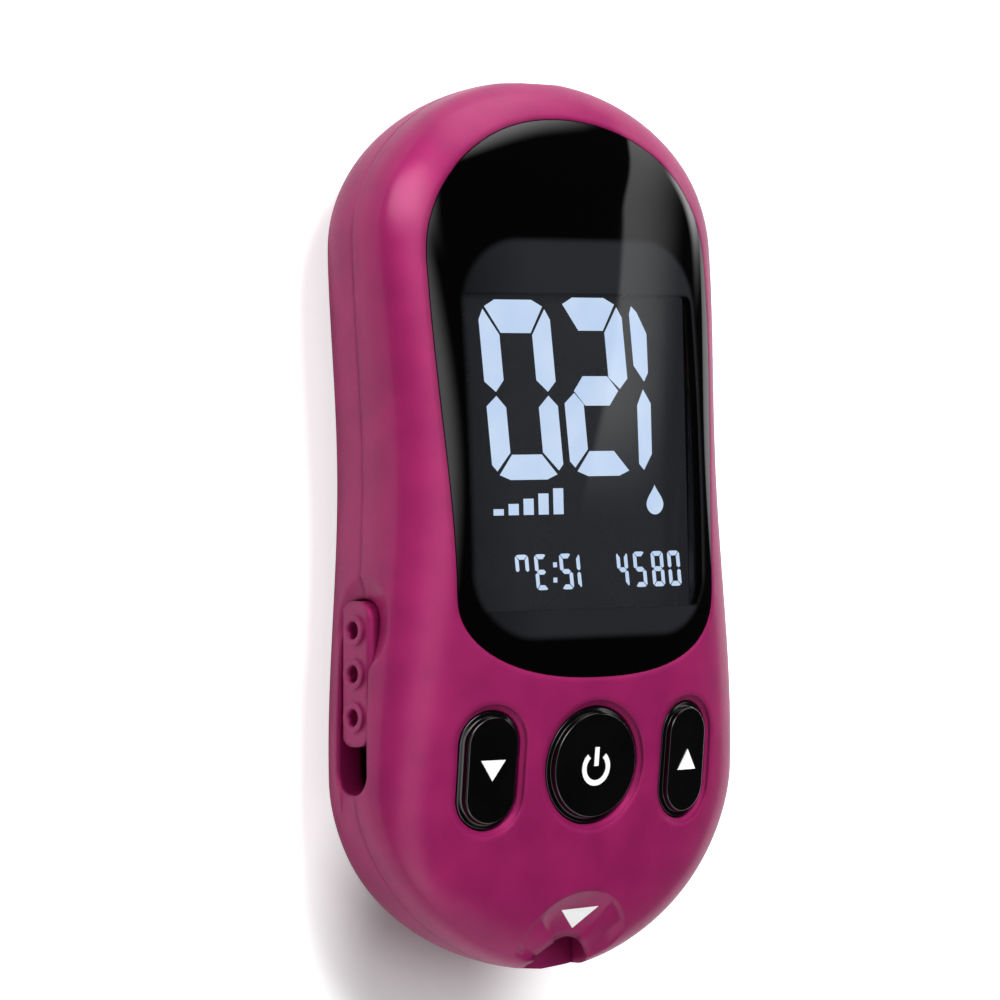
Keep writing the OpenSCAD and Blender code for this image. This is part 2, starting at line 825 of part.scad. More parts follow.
module board_screws() {
    color(steel) for (place = board_places) translate([place[0], place[1], board_z]) difference() {
        union() {
            translate([0, 0, -0.9]) cylinder(d = 2*board_screw_d, h = 0.9);
            translate([0, 0, -0.1]) cylinder(d = board_screw_d - 0.35, h = board_t + 2);
        }
        for (a = [0, 90]) rotate(a) translate([-0.9, -0.2, -0.9 - cut]) cube([1.8, 0.4, cut + 0.5]);
    }
}

module tact_switches() {
    color(steel) for (x = [-side_pitch, 0, side_pitch]) translate([x, key_y, board_top]) {
        translate([-switch_w/2, -switch_w/2, 0]) cube([switch_w, switch_w, 0.9]);
        cylinder(d = 2, h = switch_h);
    }
}

// --- strip connector ---

module strip_connector() {
    color("#e8e6df") difference() {
        block([-connector_w/2, connector_y, connector_foot_z],
              [connector_w/2, connector_high, board_z - 0.1]);
        block([-strip_w/2, connector_y - cut, strip_z - strip_h/2],
              [strip_w/2, connector_high + cut, strip_z + strip_h/2]);
        for (x = contact_xs) block([x - 0.45, connector_y + 1.2, strip_z],
                                   [x + 0.45, connector_high - 1.2, board_z]);
    }
}

contact_xs = [for (i = [-2:2]) i*1.5];

// five leaf contacts in the roof of the connector
module strip_contacts() {
    reach = connector_l - 3;
    low = connector_y + 1.5;
    color("#d8b45a") for (x = contact_xs) translate([x + 0.3, 0, 0]) rotate([90, 0, -90])
        linear_extrude(0.6) polygon([
            [-low, board_z - 0.35], [-low, board_z - 0.1],
            [-low - reach, board_z - 0.1], [-low - reach, board_z - 0.35],
            [-low - 0.45*reach, board_z - 0.4], [-low - 0.3*reach, strip_z + 0.32],
            [-low - 0.2*reach, strip_z + 0.32], [-low - 0.1*reach, board_z - 0.35]]);
}

// --- ejector ---

thumb_high_x = -half_width(thumb_high_y, 0) - thumb_rise;
thumb_low_x = -half_width(thumb_low_y, 0) + thumb_sink;
thumb_lean = atan((thumb_low_x - thumb_high_x)/thumb_l);

// places something on the thumb piece's outer face, y from its middle, Z into the piece
module on_thumb(y) {
    translate([(thumb_high_x + thumb_low_x)/2, (thumb_high_y + thumb_low_y)/2, eject_z])
        rotate([0, 0, thumb_lean]) translate([0, y, 0]) rotate([0, 90, 0]) children();
}

module ejector_slider() {
    side = thumb_h/2;
    color(magenta) {
        difference() {
            union() {
                intersection() {
                    translate([-bottom_w, (thumb_high_y + thumb_low_y)/2, eject_z])
                        rotate([90, 0, 90]) linear_extrude(bottom_w + carriage_x + 0.1)
                            rounded(thumb_l, thumb_h, thumb_r);
                    // leaning outer face with a chamfer along both sides
                    on_thumb(0) rotate([90, 0, 0]) linear_extrude(2*thumb_l, center = true)
                        polygon([[thumb_edge - side, 0], [side - thumb_edge, 0],
                                 [side, thumb_edge], [side, bottom_w],
                                 [-side, bottom_w], [-side, thumb_edge]]);
                }
                // three raised rings for grip
                for (i = [-1:1]) on_thumb(i*dot_pitch) translate([0, 0, -dot_rise])
                    cylinder(d = dot_d, h = dot_rise + 0.1, $fn = 36);
            }
            for (i = [-1:1]) on_thumb(i*dot_pitch) translate([0, 0, -dot_rise - cut])
                cylinder(d = dot_hole_d, h = dot_rise + dot_hole_depth + cut, $fn = 36);
        }
        block([carriage_x, carriage_low_y, eject_z - carriage_h/2],
              [carriage_x + carriage_t, carriage_high_y, eject_z + carriage_h/2]);
        block([carriage_x + carriage_t - 0.1, foot_low_y, foot_low],
              [foot_in_x, carriage_low_y + arm_w, foot_top]);
        translate([pin_x, arm_y, foot_top]) cylinder(d = 2, h = arm_t + 0.3);
        // peg that the return spring sits on
        translate([spring_x, foot_low_y + 0.1, spring_z]) rotate([90, 0, 0])
            cylinder(d = 1.6, h = 1.7);
    }
}

module ejector_arm() {
    blade_tip = connector_high - 2.2;
    color("#d9d6cf") translate([0, 0, foot_top]) linear_extrude(arm_t) difference() {
        union() {
            translate([foot_in_x - 3.4, arm_y - arm_w/2])
                square([blade_w/2 - foot_in_x + 3.4, arm_w]);
            translate([-blade_w/2, blade_tip]) square([blade_w, arm_y - blade_tip]);
        }
        translate([pin_x, arm_y]) circle(d = 2.1);
    }
}

// round wire along the points of a list, as a tube of six sides
module wire(points, d) {
    sides = 6;
    last = len(points) - 1;
    rings = [for (i = [0:last]) let (
        t = unit(points[min(i + 1, last)] - points[max(i - 1, 0)]),
        u = unit(cross(t, abs(t[1]) < 0.9 ? [0, 1, 0] : [1, 0, 0])),
        v = cross(t, u))
        [for (k = [0:sides - 1]) points[i] + d/2*(cos(360*k/sides)*u + sin(360*k/sides)*v)]];
    n = sides;
    polyhedron(points = [for (r = rings) each r], faces = concat(
        [for (j = [0:last - 1], i = [0:n - 1]) let (a = j*n + i, b = j*n + (i + 1)%n)
            each [[a, b + n, b], [a, a + n, b + n]]],
        [[for (i = [0:n - 1]) i]],
        [[for (i = [n - 1:-1:0]) last*n + i]]));
}

function unit(v) = v/norm(v);

// a helix along Y from radius r0 to r1
function helix(turns, r0, r1, l) =
    [for (i = [0:8*turns]) let (u = i/(8*turns), r = r0 + (r1 - r0)*u)
        [r*cos(45*i), l*u, r*sin(45*i)]];

module ejector_spring() {
    r = (eject_spring_d - eject_wire)/2;
    from = post_y + eject_wire/2 + 0.05;
    to = foot_low_y - eject_wire/2 - 0.05;
    color(steel) translate([spring_x, from, spring_z]) wire(helix(7, r, r, to - from), eject_wire);
}

// --- battery ---

module battery_door() {
    ridge_y = well_y - door_l/2 + 1;
    color(magenta) {
        difference() {
            translate([0, 0, door_z]) linear_extrude(door_t) door_outline(0);
            // grip grooves above the tab
            for (i = [0:3]) translate([0, ridge_y + 1.5*i, door_z]) rotate([0, 90, 0])
                cylinder(r = 0.4, h = tab_w + 2*i, center = true);
        }
        for (side = [-1, 1]) {
            // hooks that catch inside the frame
            block([side*hook_x - hook_w/2, well_high + 0.2, door_top],
                  [side*hook_x + hook_w/2, hinge_y, seat_z + 0.1 + hook_t]);
            block([side*hook_x - hook_w/2, hinge_y - 0.01, seat_z + 0.1],
                  [side*hook_x + hook_w/2, hinge_y + hook_l, seat_z + 0.1 + hook_t]);
        }
        // latch tongue on the tab
        block([-tab_w/2 + 1, tongue_y, door_top], [tab_w/2 - 1, tongue_y + 0.9, door_top + 3]);
        block([-tab_w/2 + 1, tongue_y - 0.3, door_top + 1.6],
              [tab_w/2 - 1, tongue_y, door_top + 2.2]);
    }
}

tongue_y = well_y - door_l/2 - tab_l + 0.3;

nub_d = 3.6;
nub_l = 1;

module cell() {
    can_l = cell_l - nub_l;
    rotate([-90, 0, 0]) {
        cylinder(d = cell_d - 1, h = 0.4);
        translate([0, 0, 0.4]) cylinder(d = cell_d, h = can_l - 0.8);
        translate([0, 0, can_l - 0.4]) cylinder(d = cell_d - 1, h = 0.4);
        translate([0, 0, can_l]) cylinder(d = nub_d, h = nub_l);
    }
}

// two cells side by side, one each way round
module battery_cells() {
    color("#39414d") {
        translate([-cell_x, well_low + plate_t + spring_l + cell_gap, cell_z]) cell();
        translate([cell_x, well_high - plate_t - spring_l - cell_gap, cell_z])
            rotate([0, 0, 180]) cell();
    }
}

// spring steel plates at both ends of the well
module battery_contacts() {
    plate_w = cell_d - 1.5;
    color(steel) for (side = [-1, 1]) {
        y = side < 0 ? well_low : well_high - plate_t;
        translate([-cell_x - plate_w/2, y, cell_z - plate_w/2])
            cube([side < 0 ? plate_w : 2*cell_x + plate_w, plate_t, plate_w]);
        if (side < 0) translate([cell_x - plate_w/2, y, cell_z - plate_w/2])
            cube([plate_w, plate_t, plate_w]);
    }
}

module battery_springs() {
    wire_d = 0.6;
    room = spring_l + cell_gap - wire_d - 0.1;
    color(steel) for (side = [-1, 1])
        translate([side*cell_x, well_y - side*(-well_l/2 + plate_t + wire_d/2 + 0.05), cell_z])
            rotate([0, 0, side < 0 ? 0 : 180]) wire(helix(4, 3.4, 1.6, room), wire_d);
}

// --- housing screws ---

module housing_screws() {
    color(steel) for (place = boss_places) translate([place[0], place[1], head_z]) difference() {
        union() {
            translate([0, 0, -head_h]) cylinder(d = head_d, h = head_h);
            translate([0, 0, -0.1]) cylinder(d = screw_d - 0.45, h = screw_l);
        }
        for (a = [0, 90]) rotate(a) translate([-head_d/4, -0.3, -head_h - cut])
            cube([head_d/2, 0.6, cut + 0.8]);
    }
}

front_shell();
rear_shell();
display_lens();
lcd_panel();
lcd_frame();
backlight();
elastomer_strip();
main_board();
board_parts();
board_screws();
tact_switches();
buzzer();
set_button();
down_button();
up_button();
strip_connector();
strip_contacts();
ejector_slider();
ejector_arm();
ejector_spring();
battery_door();
battery_cells();
battery_contacts();
battery_springs();
housing_screws();
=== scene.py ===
import bmesh
import bpy
import math
import numpy as np
from mathutils import Matrix, Vector


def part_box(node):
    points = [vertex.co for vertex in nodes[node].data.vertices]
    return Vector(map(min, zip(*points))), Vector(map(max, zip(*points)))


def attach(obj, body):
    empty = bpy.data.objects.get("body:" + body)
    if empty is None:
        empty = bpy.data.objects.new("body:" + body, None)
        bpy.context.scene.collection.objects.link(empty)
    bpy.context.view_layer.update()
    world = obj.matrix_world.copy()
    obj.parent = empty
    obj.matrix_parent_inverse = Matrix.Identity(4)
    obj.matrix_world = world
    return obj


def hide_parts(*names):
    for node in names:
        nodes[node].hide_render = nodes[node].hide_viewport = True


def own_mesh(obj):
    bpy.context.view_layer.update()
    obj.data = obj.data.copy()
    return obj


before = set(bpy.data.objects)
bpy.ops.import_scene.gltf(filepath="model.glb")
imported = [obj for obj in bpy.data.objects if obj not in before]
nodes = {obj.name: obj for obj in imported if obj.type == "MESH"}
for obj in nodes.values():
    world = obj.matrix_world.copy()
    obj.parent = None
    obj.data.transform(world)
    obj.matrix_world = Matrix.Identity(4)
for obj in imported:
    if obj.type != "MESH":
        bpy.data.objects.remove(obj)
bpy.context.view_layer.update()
mm = 0.001

cameraSetup = {  # at the photograph's angle
    "place": (-0.380346, 0.000176, 0.474790),  # metres
    "right": (0.777148, -0.023158, 0.628891),
    "up": (0.015070, 0.999721, 0.018191),
    "lens": 191.53, "sensor": 36, "clip": (0.02, 20),  # mm, mm, metres
}


def makeCamera(setup):
    data = bpy.data.cameras.new("camera")
    data.lens = setup["lens"]
    data.sensor_width = setup["sensor"]
    data.clip_start, data.clip_end = setup["clip"]
    camera = bpy.data.objects.new("camera", data)
    bpy.context.scene.collection.objects.link(camera)
    right, up = Vector(setup["right"]).normalized(), Vector(setup["up"]).normalized()
    back = right.cross(up).normalized()
    up = back.cross(right)
    camera.matrix_world = Matrix.Translation(setup["place"]) @ Matrix(
        (right, up, back)).transposed().to_4x4()
    bpy.context.scene.camera = camera


makeCamera(cameraSetup)
print("camera set")

# outline and swell of the housing, mm; a power of 2 rounds off as an ellipse, a higher one fuller
housing = {
    "length": 100, "topWidth": 48.8, "waistWidth": 47.4, "bottomWidth": 52,
    "topEnd": 18.6, "bottomEnd": 22.1, "waistY": 8.4, "outlinePowers": (2, 1.85),  # display end, button end
    "crownHeight": 11.3, "crownRadius": 194, "crownY": 2.7, "bellyDepth": 12.1,
    "crownRound": (12.3, 10.8), "bellyRound": (21.2, 14), "roundPowers": (2, 2.2),  # display end, button end
    "midZ": 11.5, "seamZ": 10.3,
    "crownPower": 2.5, "bellyPower": 3.6,
}
endY = housing["length"] / 2
topY = endY - housing["topEnd"]
bottomY = housing["bottomEnd"] - endY
midZ = housing["midZ"]


def roundOff(t, power):
    return np.maximum(1 - np.maximum(t, 0) ** power, 0) ** (1 / power)


def ease(t):
    return (1 - np.cos(np.pi * np.clip(t, 0, 1))) / 2


# half the outline's width at y, set in by inset
def halfWidth(y, inset=0.0):
    y = np.asarray(y, float)
    top, waist, low = (housing[k] / 2 - inset for k in ("topWidth", "waistWidth", "bottomWidth"))
    wide = np.where(y > housing["waistY"],
                    waist + (top - waist) * ease((y - housing["waistY"]) / (topY - housing["waistY"])),
                    waist + (low - waist) * ease((housing["waistY"] - y) / (housing["waistY"] - bottomY)))
    high, low = housing["outlinePowers"]
    return (wide * roundOff((y - topY) / (housing["topEnd"] - inset), high)
            * roundOff((bottomY - y) / (housing["bottomEnd"] - inset), low))


# share of the full height that is left near the ends
def endRound(y, inset, lengths):
    high, low = housing["roundPowers"]
    return (roundOff((y - endY + lengths[0]) / (lengths[0] - inset), high)
            * roundOff((lengths[1] - endY - y) / (lengths[1] - inset), low))


# height of the face over the middle plane, along the centre line
def crown(y, inset=0.0):
    y = np.asarray(y, float)
    rise = housing["crownHeight"] - inset - (y - housing["crownY"]) ** 2 / (2 * housing["crownRadius"])
    return rise * endRound(y, inset, housing["crownRound"])


# depth of the back under the middle plane
def belly(y, inset=0.0):
    y = np.asarray(y, float)
    return (housing["bellyDepth"] - inset) * endRound(y, inset, housing["bellyRound"])


def faceZ(x, y):
    wide = np.maximum(halfWidth(y), 1e-6)
    return midZ + crown(y) * roundOff(np.abs(x) / wide, housing["crownPower"])


# 1 on the skin of the crown (side 1) or of the belly (side -1)
def skinLevel(p, inset, side):
    power = housing["crownPower"] if side > 0 else housing["bellyPower"]
    wide = np.maximum(halfWidth(p[:, 1], inset), 1e-3)
    high = np.maximum(crown(p[:, 1], inset) if side > 0 else belly(p[:, 1], inset), 1e-3)
    a = np.abs(p[:, 0]) / wide
    b = np.maximum(side * (p[:, 2] - midZ), 0) / high
    return (a ** power + b ** power) ** (1 / power)


endGap = 0.06  # mm, keeps the steps of skinNormal inside the ends


# way out of the skin at points p, and how fast its level grows that way
def skinNormal(p, inset, side, step=0.02):
    p = p.copy()
    p[:, 1] = np.clip(p[:, 1], -endY + inset + endGap, endY - inset - endGap)
    out = np.zeros_like(p)
    for axis in range(3):
        d = np.zeros(3)
        d[axis] = step
        out[:, axis] = (skinLevel(p + d, inset, side) - skinLevel(p - d, inset, side)) / (2 * step)
    size = np.linalg.norm(out, axis=1)
    size[size < 1e-9] = 1
    return out / size[:, None], size


def skinDistance(p, inset, side):
    normal, size = skinNormal(p, inset, side)
    return (skinLevel(p, inset, side) - 1) / size, normal


def newPiece(name, mesh, body, material):
    piece = bpy.data.objects.new(name, mesh)
    bpy.context.scene.collection.objects.link(piece)
    mesh.materials.clear()
    mesh.materials.append(material)
    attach(piece, body)
    return piece


# mesh in metres from a bmesh in millimetres
def meshFrom(name, bm, smoothAngle=30):
    bmesh.ops.scale(bm, vec=(mm, mm, mm), verts=bm.verts)
    for face in bm.faces:
        face.smooth = True
    mesh = bpy.data.meshes.new(name)
    bm.to_mesh(mesh)
    bm.free()
    mesh.set_sharp_from_angle(angle=math.radians(smoothAngle))
    return mesh


# how a shell's mesh is split and laid on the true form, mm and degrees
skinning = {
    "weld": 0.0015, "reach": 0.22, "facing": 0.75, "turns": 7, "fineHeight": 4.5, "fineEnd": 40,
    "overFloor": 0.02, "seamReach": 0.01, "pull": 0.2, "sharpAngle": 24,
}


# welded copy of a CAD node's mesh, in millimetres
def nodeMesh(nodeName):
    bm = bmesh.new()
    bm.from_mesh(nodes[nodeName].data)
    bmesh.ops.scale(bm, vec=(1000, 1000, 1000), verts=bm.verts)
    bmesh.ops.remove_doubles(bm, verts=bm.verts, dist=skinning["weld"])
    bm.normal_update()
    return bm


# marks the faces on the form: k + 1 for inset k, minus where they face inwards
def markSkin(bm, mark, side, insets):
    points = np.array([v.co for v in bm.verts])
    near = []
    for inset in insets:
        distance, normal = skinDistance(points, inset, side)
        near.append((np.abs(distance), normal))
    bm.verts.index_update()
    for face in bm.faces:
        ids = [v.index for v in face.verts]
        for k, (distance, normal) in enumerate(near):
            way = sum((Vector(normal[i]) for i in ids), Vector()).normalized()
            turned = way.dot(face.normal)
            if max(distance[i] for i in ids) < skinning["reach"] and abs(turned) > skinning["facing"]:
                face[mark] = k + 1 if turned > 0 else -(k + 1)
                break


# splits marked faces until their edges are short: edges[0] at the sides and ends, edges[1] elsewhere
def splitSkin(bm, mark, edges):
    for turn in range(skinning["turns"]):
        long = []
        for edge in bm.edges:
            if any(f[mark] for f in edge.link_faces):
                middle = (edge.verts[0].co + edge.verts[1].co) / 2
                fine = abs(middle.z - midZ) < skinning["fineHeight"] or abs(middle.y) > skinning["fineEnd"]
                if edge.calc_length() > edges[0 if fine else 1]:
                    long.append(edge)
        if not long:
            break
        bmesh.ops.subdivide_edges(bm, edges=long, cuts=1)
        bmesh.ops.triangulate(bm, faces=[f for f in bm.faces if len(f.verts) > 3],
                              quad_method="SHORT_EDGE", ngon_method="BEAUTY")


# copy of a shell whose outer faces are split fine, laid on the true form and shaded by it
def smoothSkin(nodeName, pieceName, body, side, insets, material, edges=(0.5, 1.0), blend=0.02):
    bm = nodeMesh(nodeName)
    bmesh.ops.triangulate(bm, faces=bm.faces)
    bm.verts.ensure_lookup_table()
    mark = bm.faces.layers.int.new("skin")
    markSkin(bm, mark, side, insets)
    splitSkin(bm, mark, edges)
    bm.verts.ensure_lookup_table()
    bm.verts.index_update()
    owner = {}
    for face in bm.faces:
        if face[mark]:
            for v in face.verts:
                owner.setdefault(v.index, abs(face[mark]))
    points = np.array([v.co for v in bm.verts])
    for k, inset in enumerate(insets):
        ids = np.array([i for i, o in owner.items() if o == k + 1 and points[i, 2] > skinning["overFloor"]])
        if not len(ids):
            continue
        moved = points[ids]
        for turn in range(2):
            distance, normal = skinDistance(moved, inset, side)
            moved = moved - normal * np.clip(distance, -skinning["pull"], skinning["pull"])[:, None]
        for i, p in zip(ids, moved):
            flat = abs(bm.verts[i].co.z - housing["seamZ"]) < skinning["seamReach"]
            bm.verts[i].co = (p[0], p[1], housing["seamZ"] if flat else max(p[2], 0))
    points = np.array([v.co for v in bm.verts])
    shading = [skinNormal(points, inset, side, blend)[0] for inset in insets]
    corners = []
    for face in bm.faces:
        k = face[mark]
        for v in face.verts:
            corners.append(shading[abs(k) - 1][v.index] * (1 if k > 0 else -1) if k else (0, 0, 0))
    borders = {tuple(sorted((e.verts[0].index, e.verts[1].index))) for e in bm.edges
               if len({f[mark] for f in e.link_faces}) > 1}
    mesh = meshFrom(pieceName, bm, skinning["sharpAngle"])
    sharp = mesh.attributes.get("sharp_edge") or mesh.attributes.new("sharp_edge", "BOOLEAN", "EDGE")
    for edge in mesh.edges:
        if tuple(sorted(edge.vertices)) in borders:
            sharp.data[edge.index].value = True
    mesh.normals_split_custom_set([tuple(c) for c in corners])
    piece = newPiece(pieceName, mesh, body, material)
    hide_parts(nodeName)
    print(pieceName, len(mesh.polygons), "faces")
    return piece


# closed body from rings of equal point counts, the first and last closed with a fan
def ringBody(rings):
    bm = bmesh.new()
    made = [[bm.verts.new(p) for p in ring] for ring in rings]
    n = len(rings[0])
    for a, b in zip(made, made[1:]):
        for i in range(n):
            bm.faces.new((a[i], a[(i + 1) % n], b[(i + 1) % n], b[i]))
    for ring, turned in ((made[0], True), (made[-1], False)):
        centre = sum((v.co for v in ring), Vector()) / n
        tip = bm.verts.new(centre)
        for i in range(n):
            a, b = ring[i], ring[(i + 1) % n]
            bm.faces.new((b, a, tip) if turned else (a, b, tip))
    return bm


# thin printed figures: outlines in x, y laid on the surface height(x, y)
def prismPatch(name, outlines, height, thickness, split=0.7, halvings=5):
    bm = bmesh.new()
    for outline in outlines:
        verts = [bm.verts.new((x, y, 0)) for x, y in outline]
        bm.faces.new(verts)
    bmesh.ops.triangulate(bm, faces=bm.faces)
    for turn in range(halvings):
        long = [e for e in bm.edges if e.calc_length() > split]
        if not long:
            break
        bmesh.ops.subdivide_edges(bm, edges=long, cuts=1)
        bmesh.ops.triangulate(bm, faces=[f for f in bm.faces if len(f.verts) > 3])
    for v in bm.verts:
        v.co.z = height(v.co.x, v.co.y)
    bmesh.ops.recalc_face_normals(bm, faces=bm.faces)
    for face in bm.faces:
        if face.normal.z < 0:
            face.normal_flip()
    top = bmesh.ops.extrude_face_region(bm, geom=list(bm.faces))
    for v in [g for g in top["geom"] if isinstance(g, bmesh.types.BMVert)]:
        v.co.z += thickness
    bmesh.ops.recalc_face_normals(bm, faces=bm.faces)
    return meshFrom(name, bm)


def toLinear(hexColour):
    parts = [int(hexColour[i:i + 2], 16) / 255 for i in (1, 3, 5)]
    return [c / 12.92 if c <= 0.04045 else ((c + 0.055) / 1.055) ** 2.4 for c in parts] + [1]


def newMaterial(name):
    material = bpy.data.materials.new(name)
    material.use_nodes = True
    tree = material.node_tree
    tree.nodes.clear()
    return material, tree


# ramp stops from a pattern's low to its high values: noise keeps between about 0.3 and 0.7
def between(low, high):
    return [(0.3, low), (0.7, high)]


# one node: settings are its properties, unlinked inputs or ramp stops, links are input: (node, output)
def add(tree, kind, settings=None, links=None):
    node = tree.nodes.new(kind)
    for key, value in (settings or {}).items():
        if key == "stops":
            band = node.color_ramp.elements
            for place, colour in value[2:]:
                band.new(place)
            for element, (place, colour) in zip(sorted(band, key=lambda e: e.position), value):
                element.position = place
                element.color = toLinear(colour) if isinstance(colour, str) else (colour,) * 3 + (1,)
        elif isinstance(key, str) and hasattr(node, key):
            setattr(node, key, value)
        else:
            node.inputs[key].default_value = value
    for key, (source, output) in (links or {}).items():
        tree.links.new(source.outputs[output], node.inputs[key])
    return node


grainDepth = 0.3  # height of a grain as a share of its width


# moulded or plated surface: two close colours in a soft cloud, a fine grain in roughness and bump
def grainedSurface(name, look):
    material, tree = newMaterial(name)
    place = add(tree, "ShaderNodeTexCoord")
    cloud = add(tree, "ShaderNodeTexNoise", {"Scale": 1000 / look["cloudMm"], "Detail": 3.0},
                {"Vector": (place, "Object")})
    colour = add(tree, "ShaderNodeValToRGB", {"stops": between(*look["colours"])}, {0: (cloud, 0)})
    grain = add(tree, "ShaderNodeTexNoise", {"Scale": 1000 / look["grainMm"], "Detail": 2.0},
                {"Vector": (place, "Object")})
    rough = add(tree, "ShaderNodeValToRGB", {"stops": between(*look["rough"])}, {0: (grain, 0)})
    bump = add(tree, "ShaderNodeBump",
               {"Strength": look["bump"], "Distance": look["grainMm"] * mm * grainDepth},
               {"Height": (grain, 0)})
    if look.get("edgeMm"):  # lips and rims catch the light on a small round
        edge = add(tree, "ShaderNodeBevel", {"samples": 8, "Radius": look["edgeMm"] * mm})
        tree.links.new(edge.outputs[0], bump.inputs["Normal"])
    shader = add(tree, "ShaderNodeBsdfPrincipled",
                 {"Metallic": look.get("metallic", 0.0), "IOR": look.get("ior", 1.5),
                  "Specular IOR Level": look.get("specular", 0.5),
                  "Coat Weight": look.get("coat", 0.0), "Coat Roughness": look.get("coatRough", 0.1)},
                 {"Base Color": (colour, 0), "Roughness": (rough, 0), "Normal": (bump, 0)})
    add(tree, "ShaderNodeOutputMaterial", {}, {"Surface": (shader, 0)})
    return material


# moulded ABS with pearl pigment under a clear coat: magenta, soft and broad in the light
pearlAbs = grainedSurface("pearlAbs", {
    "colours": ("#93185A", "#A21F62"), "cloudMm": 4.5, "grainMm": 0.25, "rough": (0.44, 0.54), "bump": 0.06,
    "metallic": 0.3, "specular": 0.25, "coat": 0.3, "coatRough": 0.16, "edgeMm": 1.0})
# piano black moulded ABS: near mirror with faint moulding waves
pianoAbs = grainedSurface("pianoBlackAbs", {
    "colours": ("#030304", "#070708"), "cloudMm": 6, "grainMm": 0.3, "rough": (0.08, 0.14), "bump": 0.02,
    "coat": 0.5, "coatRough": 0.04})
# printed white ink: flat and slightly chalky
whiteInk = grainedSurface("screenPrintInk", {
    "colours": ("#F6F6F4", "#FFFFFF"), "cloudMm": 1, "grainMm": 0.1, "rough": (0.5, 0.65), "bump": 0.1})
# glass filled nylon in black: dull with a fine grain
blackNylon = grainedSurface("blackNylon", {
    "colours": ("#1A1B1D", "#222326"), "cloudMm": 3, "grainMm": 0.15, "rough": (0.5, 0.65), "bump": 0.2})
# acetal in natural white: waxy, softly shining
whiteAcetal = grainedSurface("whiteAcetal", {
    "colours": ("#DDDBD2", "#EAE8E0"), "cloudMm": 4, "grainMm": 0.2, "rough": (0.3, 0.42), "bump": 0.06,
    "ior": 1.48})
# frosted acrylic light guide: bright white with a soft gloss
frostedAcrylic = grainedSurface("frostedAcrylic", {
    "colours": ("#E6EAF0", "#F6F8FC"), "cloudMm": 4, "grainMm": 0.2, "rough": (0.25, 0.4), "bump": 0.05,
    "ior": 1.49})
# silicone rubber with carbon layers: dark grey, dull
carbonSilicone = grainedSurface("carbonSilicone", {
    "colours": ("#29292B", "#3E3E41"), "cloudMm": 0.5, "grainMm": 0.1, "rough": (0.6, 0.75), "bump": 0.2,
    "ior": 1.41})
# solder mask over glass laminate: deep green with the weave just showing
solderMask = grainedSurface("solderMask", {
    "colours": ("#174F2E", "#1F6A3C"), "cloudMm": 0.8, "grainMm": 0.35, "rough": (0.2, 0.34), "bump": 0.15,
    "coat": 0.3})
# epoxy moulding compound on chips: charcoal, very fine matt
mouldedEpoxy = grainedSurface("mouldedEpoxy", {
    "colours": ("#18181A", "#222225"), "cloudMm": 1.2, "grainMm": 0.08, "rough": (0.5, 0.62), "bump": 0.2})
# nickel plated spring steel: drawn, slightly grainy
platedSteel = grainedSurface("nickelPlatedSteel", {
    "colours": ("#B4B6B8", "#CBCCCD"), "cloudMm": 0.9, "grainMm": 0.12, "rough": (0.22, 0.34), "bump": 0.06,
    "metallic": 1.0})
# gold plated phosphor bronze: warm, bright leaf
giltBronze = grainedSurface("goldPlatedBronze", {
    "colours": ("#C9A24C", "#E0BD6A"), "cloudMm": 0.8, "grainMm": 0.1, "rough": (0.2, 0.3), "bump": 0.05,
    "metallic": 1.0})
print("plain materials made")

# fields of the lens, mm: centre and half size, corner round and softness of the print's edge
window = {
    "field": {"centre": (0.1, 9.6), "half": (16.7, 22.0), "round": 7.5, "soft": 0.5},
    "pane": {"centre": (-0.4, 8.1), "half": (16.8, 17.5), "round": 1.0, "soft": 0.2},
    "grey": ("#111214", "#232427"), "fadeMm": (-18, -8),  # darker towards its -X side
    "black": "#020202", "clear": "#F7F8FA", "ior": 1.49, "waveMm": 14.0, "rough": (0.02, 0.05),
}


# 0 inside a rounded rectangle and 1 outside it, with a soft edge
def outsideOf(tree, place, shape):
    r, soft = shape["round"] * mm, shape["soft"] * mm
    centre = [c * mm for c in shape["centre"]] + [0]
    inner = [h * mm - r for h in shape["half"]] + [0]
    away = add(tree, "ShaderNodeVectorMath", {"operation": "SUBTRACT", 1: centre}, {0: (place, "Object")})
    side = add(tree, "ShaderNodeVectorMath", {"operation": "ABSOLUTE"}, {0: (away, 0)})
    over = add(tree, "ShaderNodeVectorMath", {"operation": "SUBTRACT", 1: inner}, {0: (side, 0)})
    past = add(tree, "ShaderNodeVectorMath", {"operation": "MAXIMUM", 1: (0, 0, 0)}, {0: (over, 0)})
    flat = add(tree, "ShaderNodeVectorMath", {"operation": "MULTIPLY", 1: (1, 1, 0)}, {0: (past, 0)})
    length = add(tree, "ShaderNodeVectorMath", {"operation": "LENGTH"}, {0: (flat, 0)})
    return add(tree, "ShaderNodeMapRange",
               {"interpolation_type": "SMOOTHSTEP", "From Min": r - soft, "From Max": r + soft},
               {"Value": (length, "Value")})


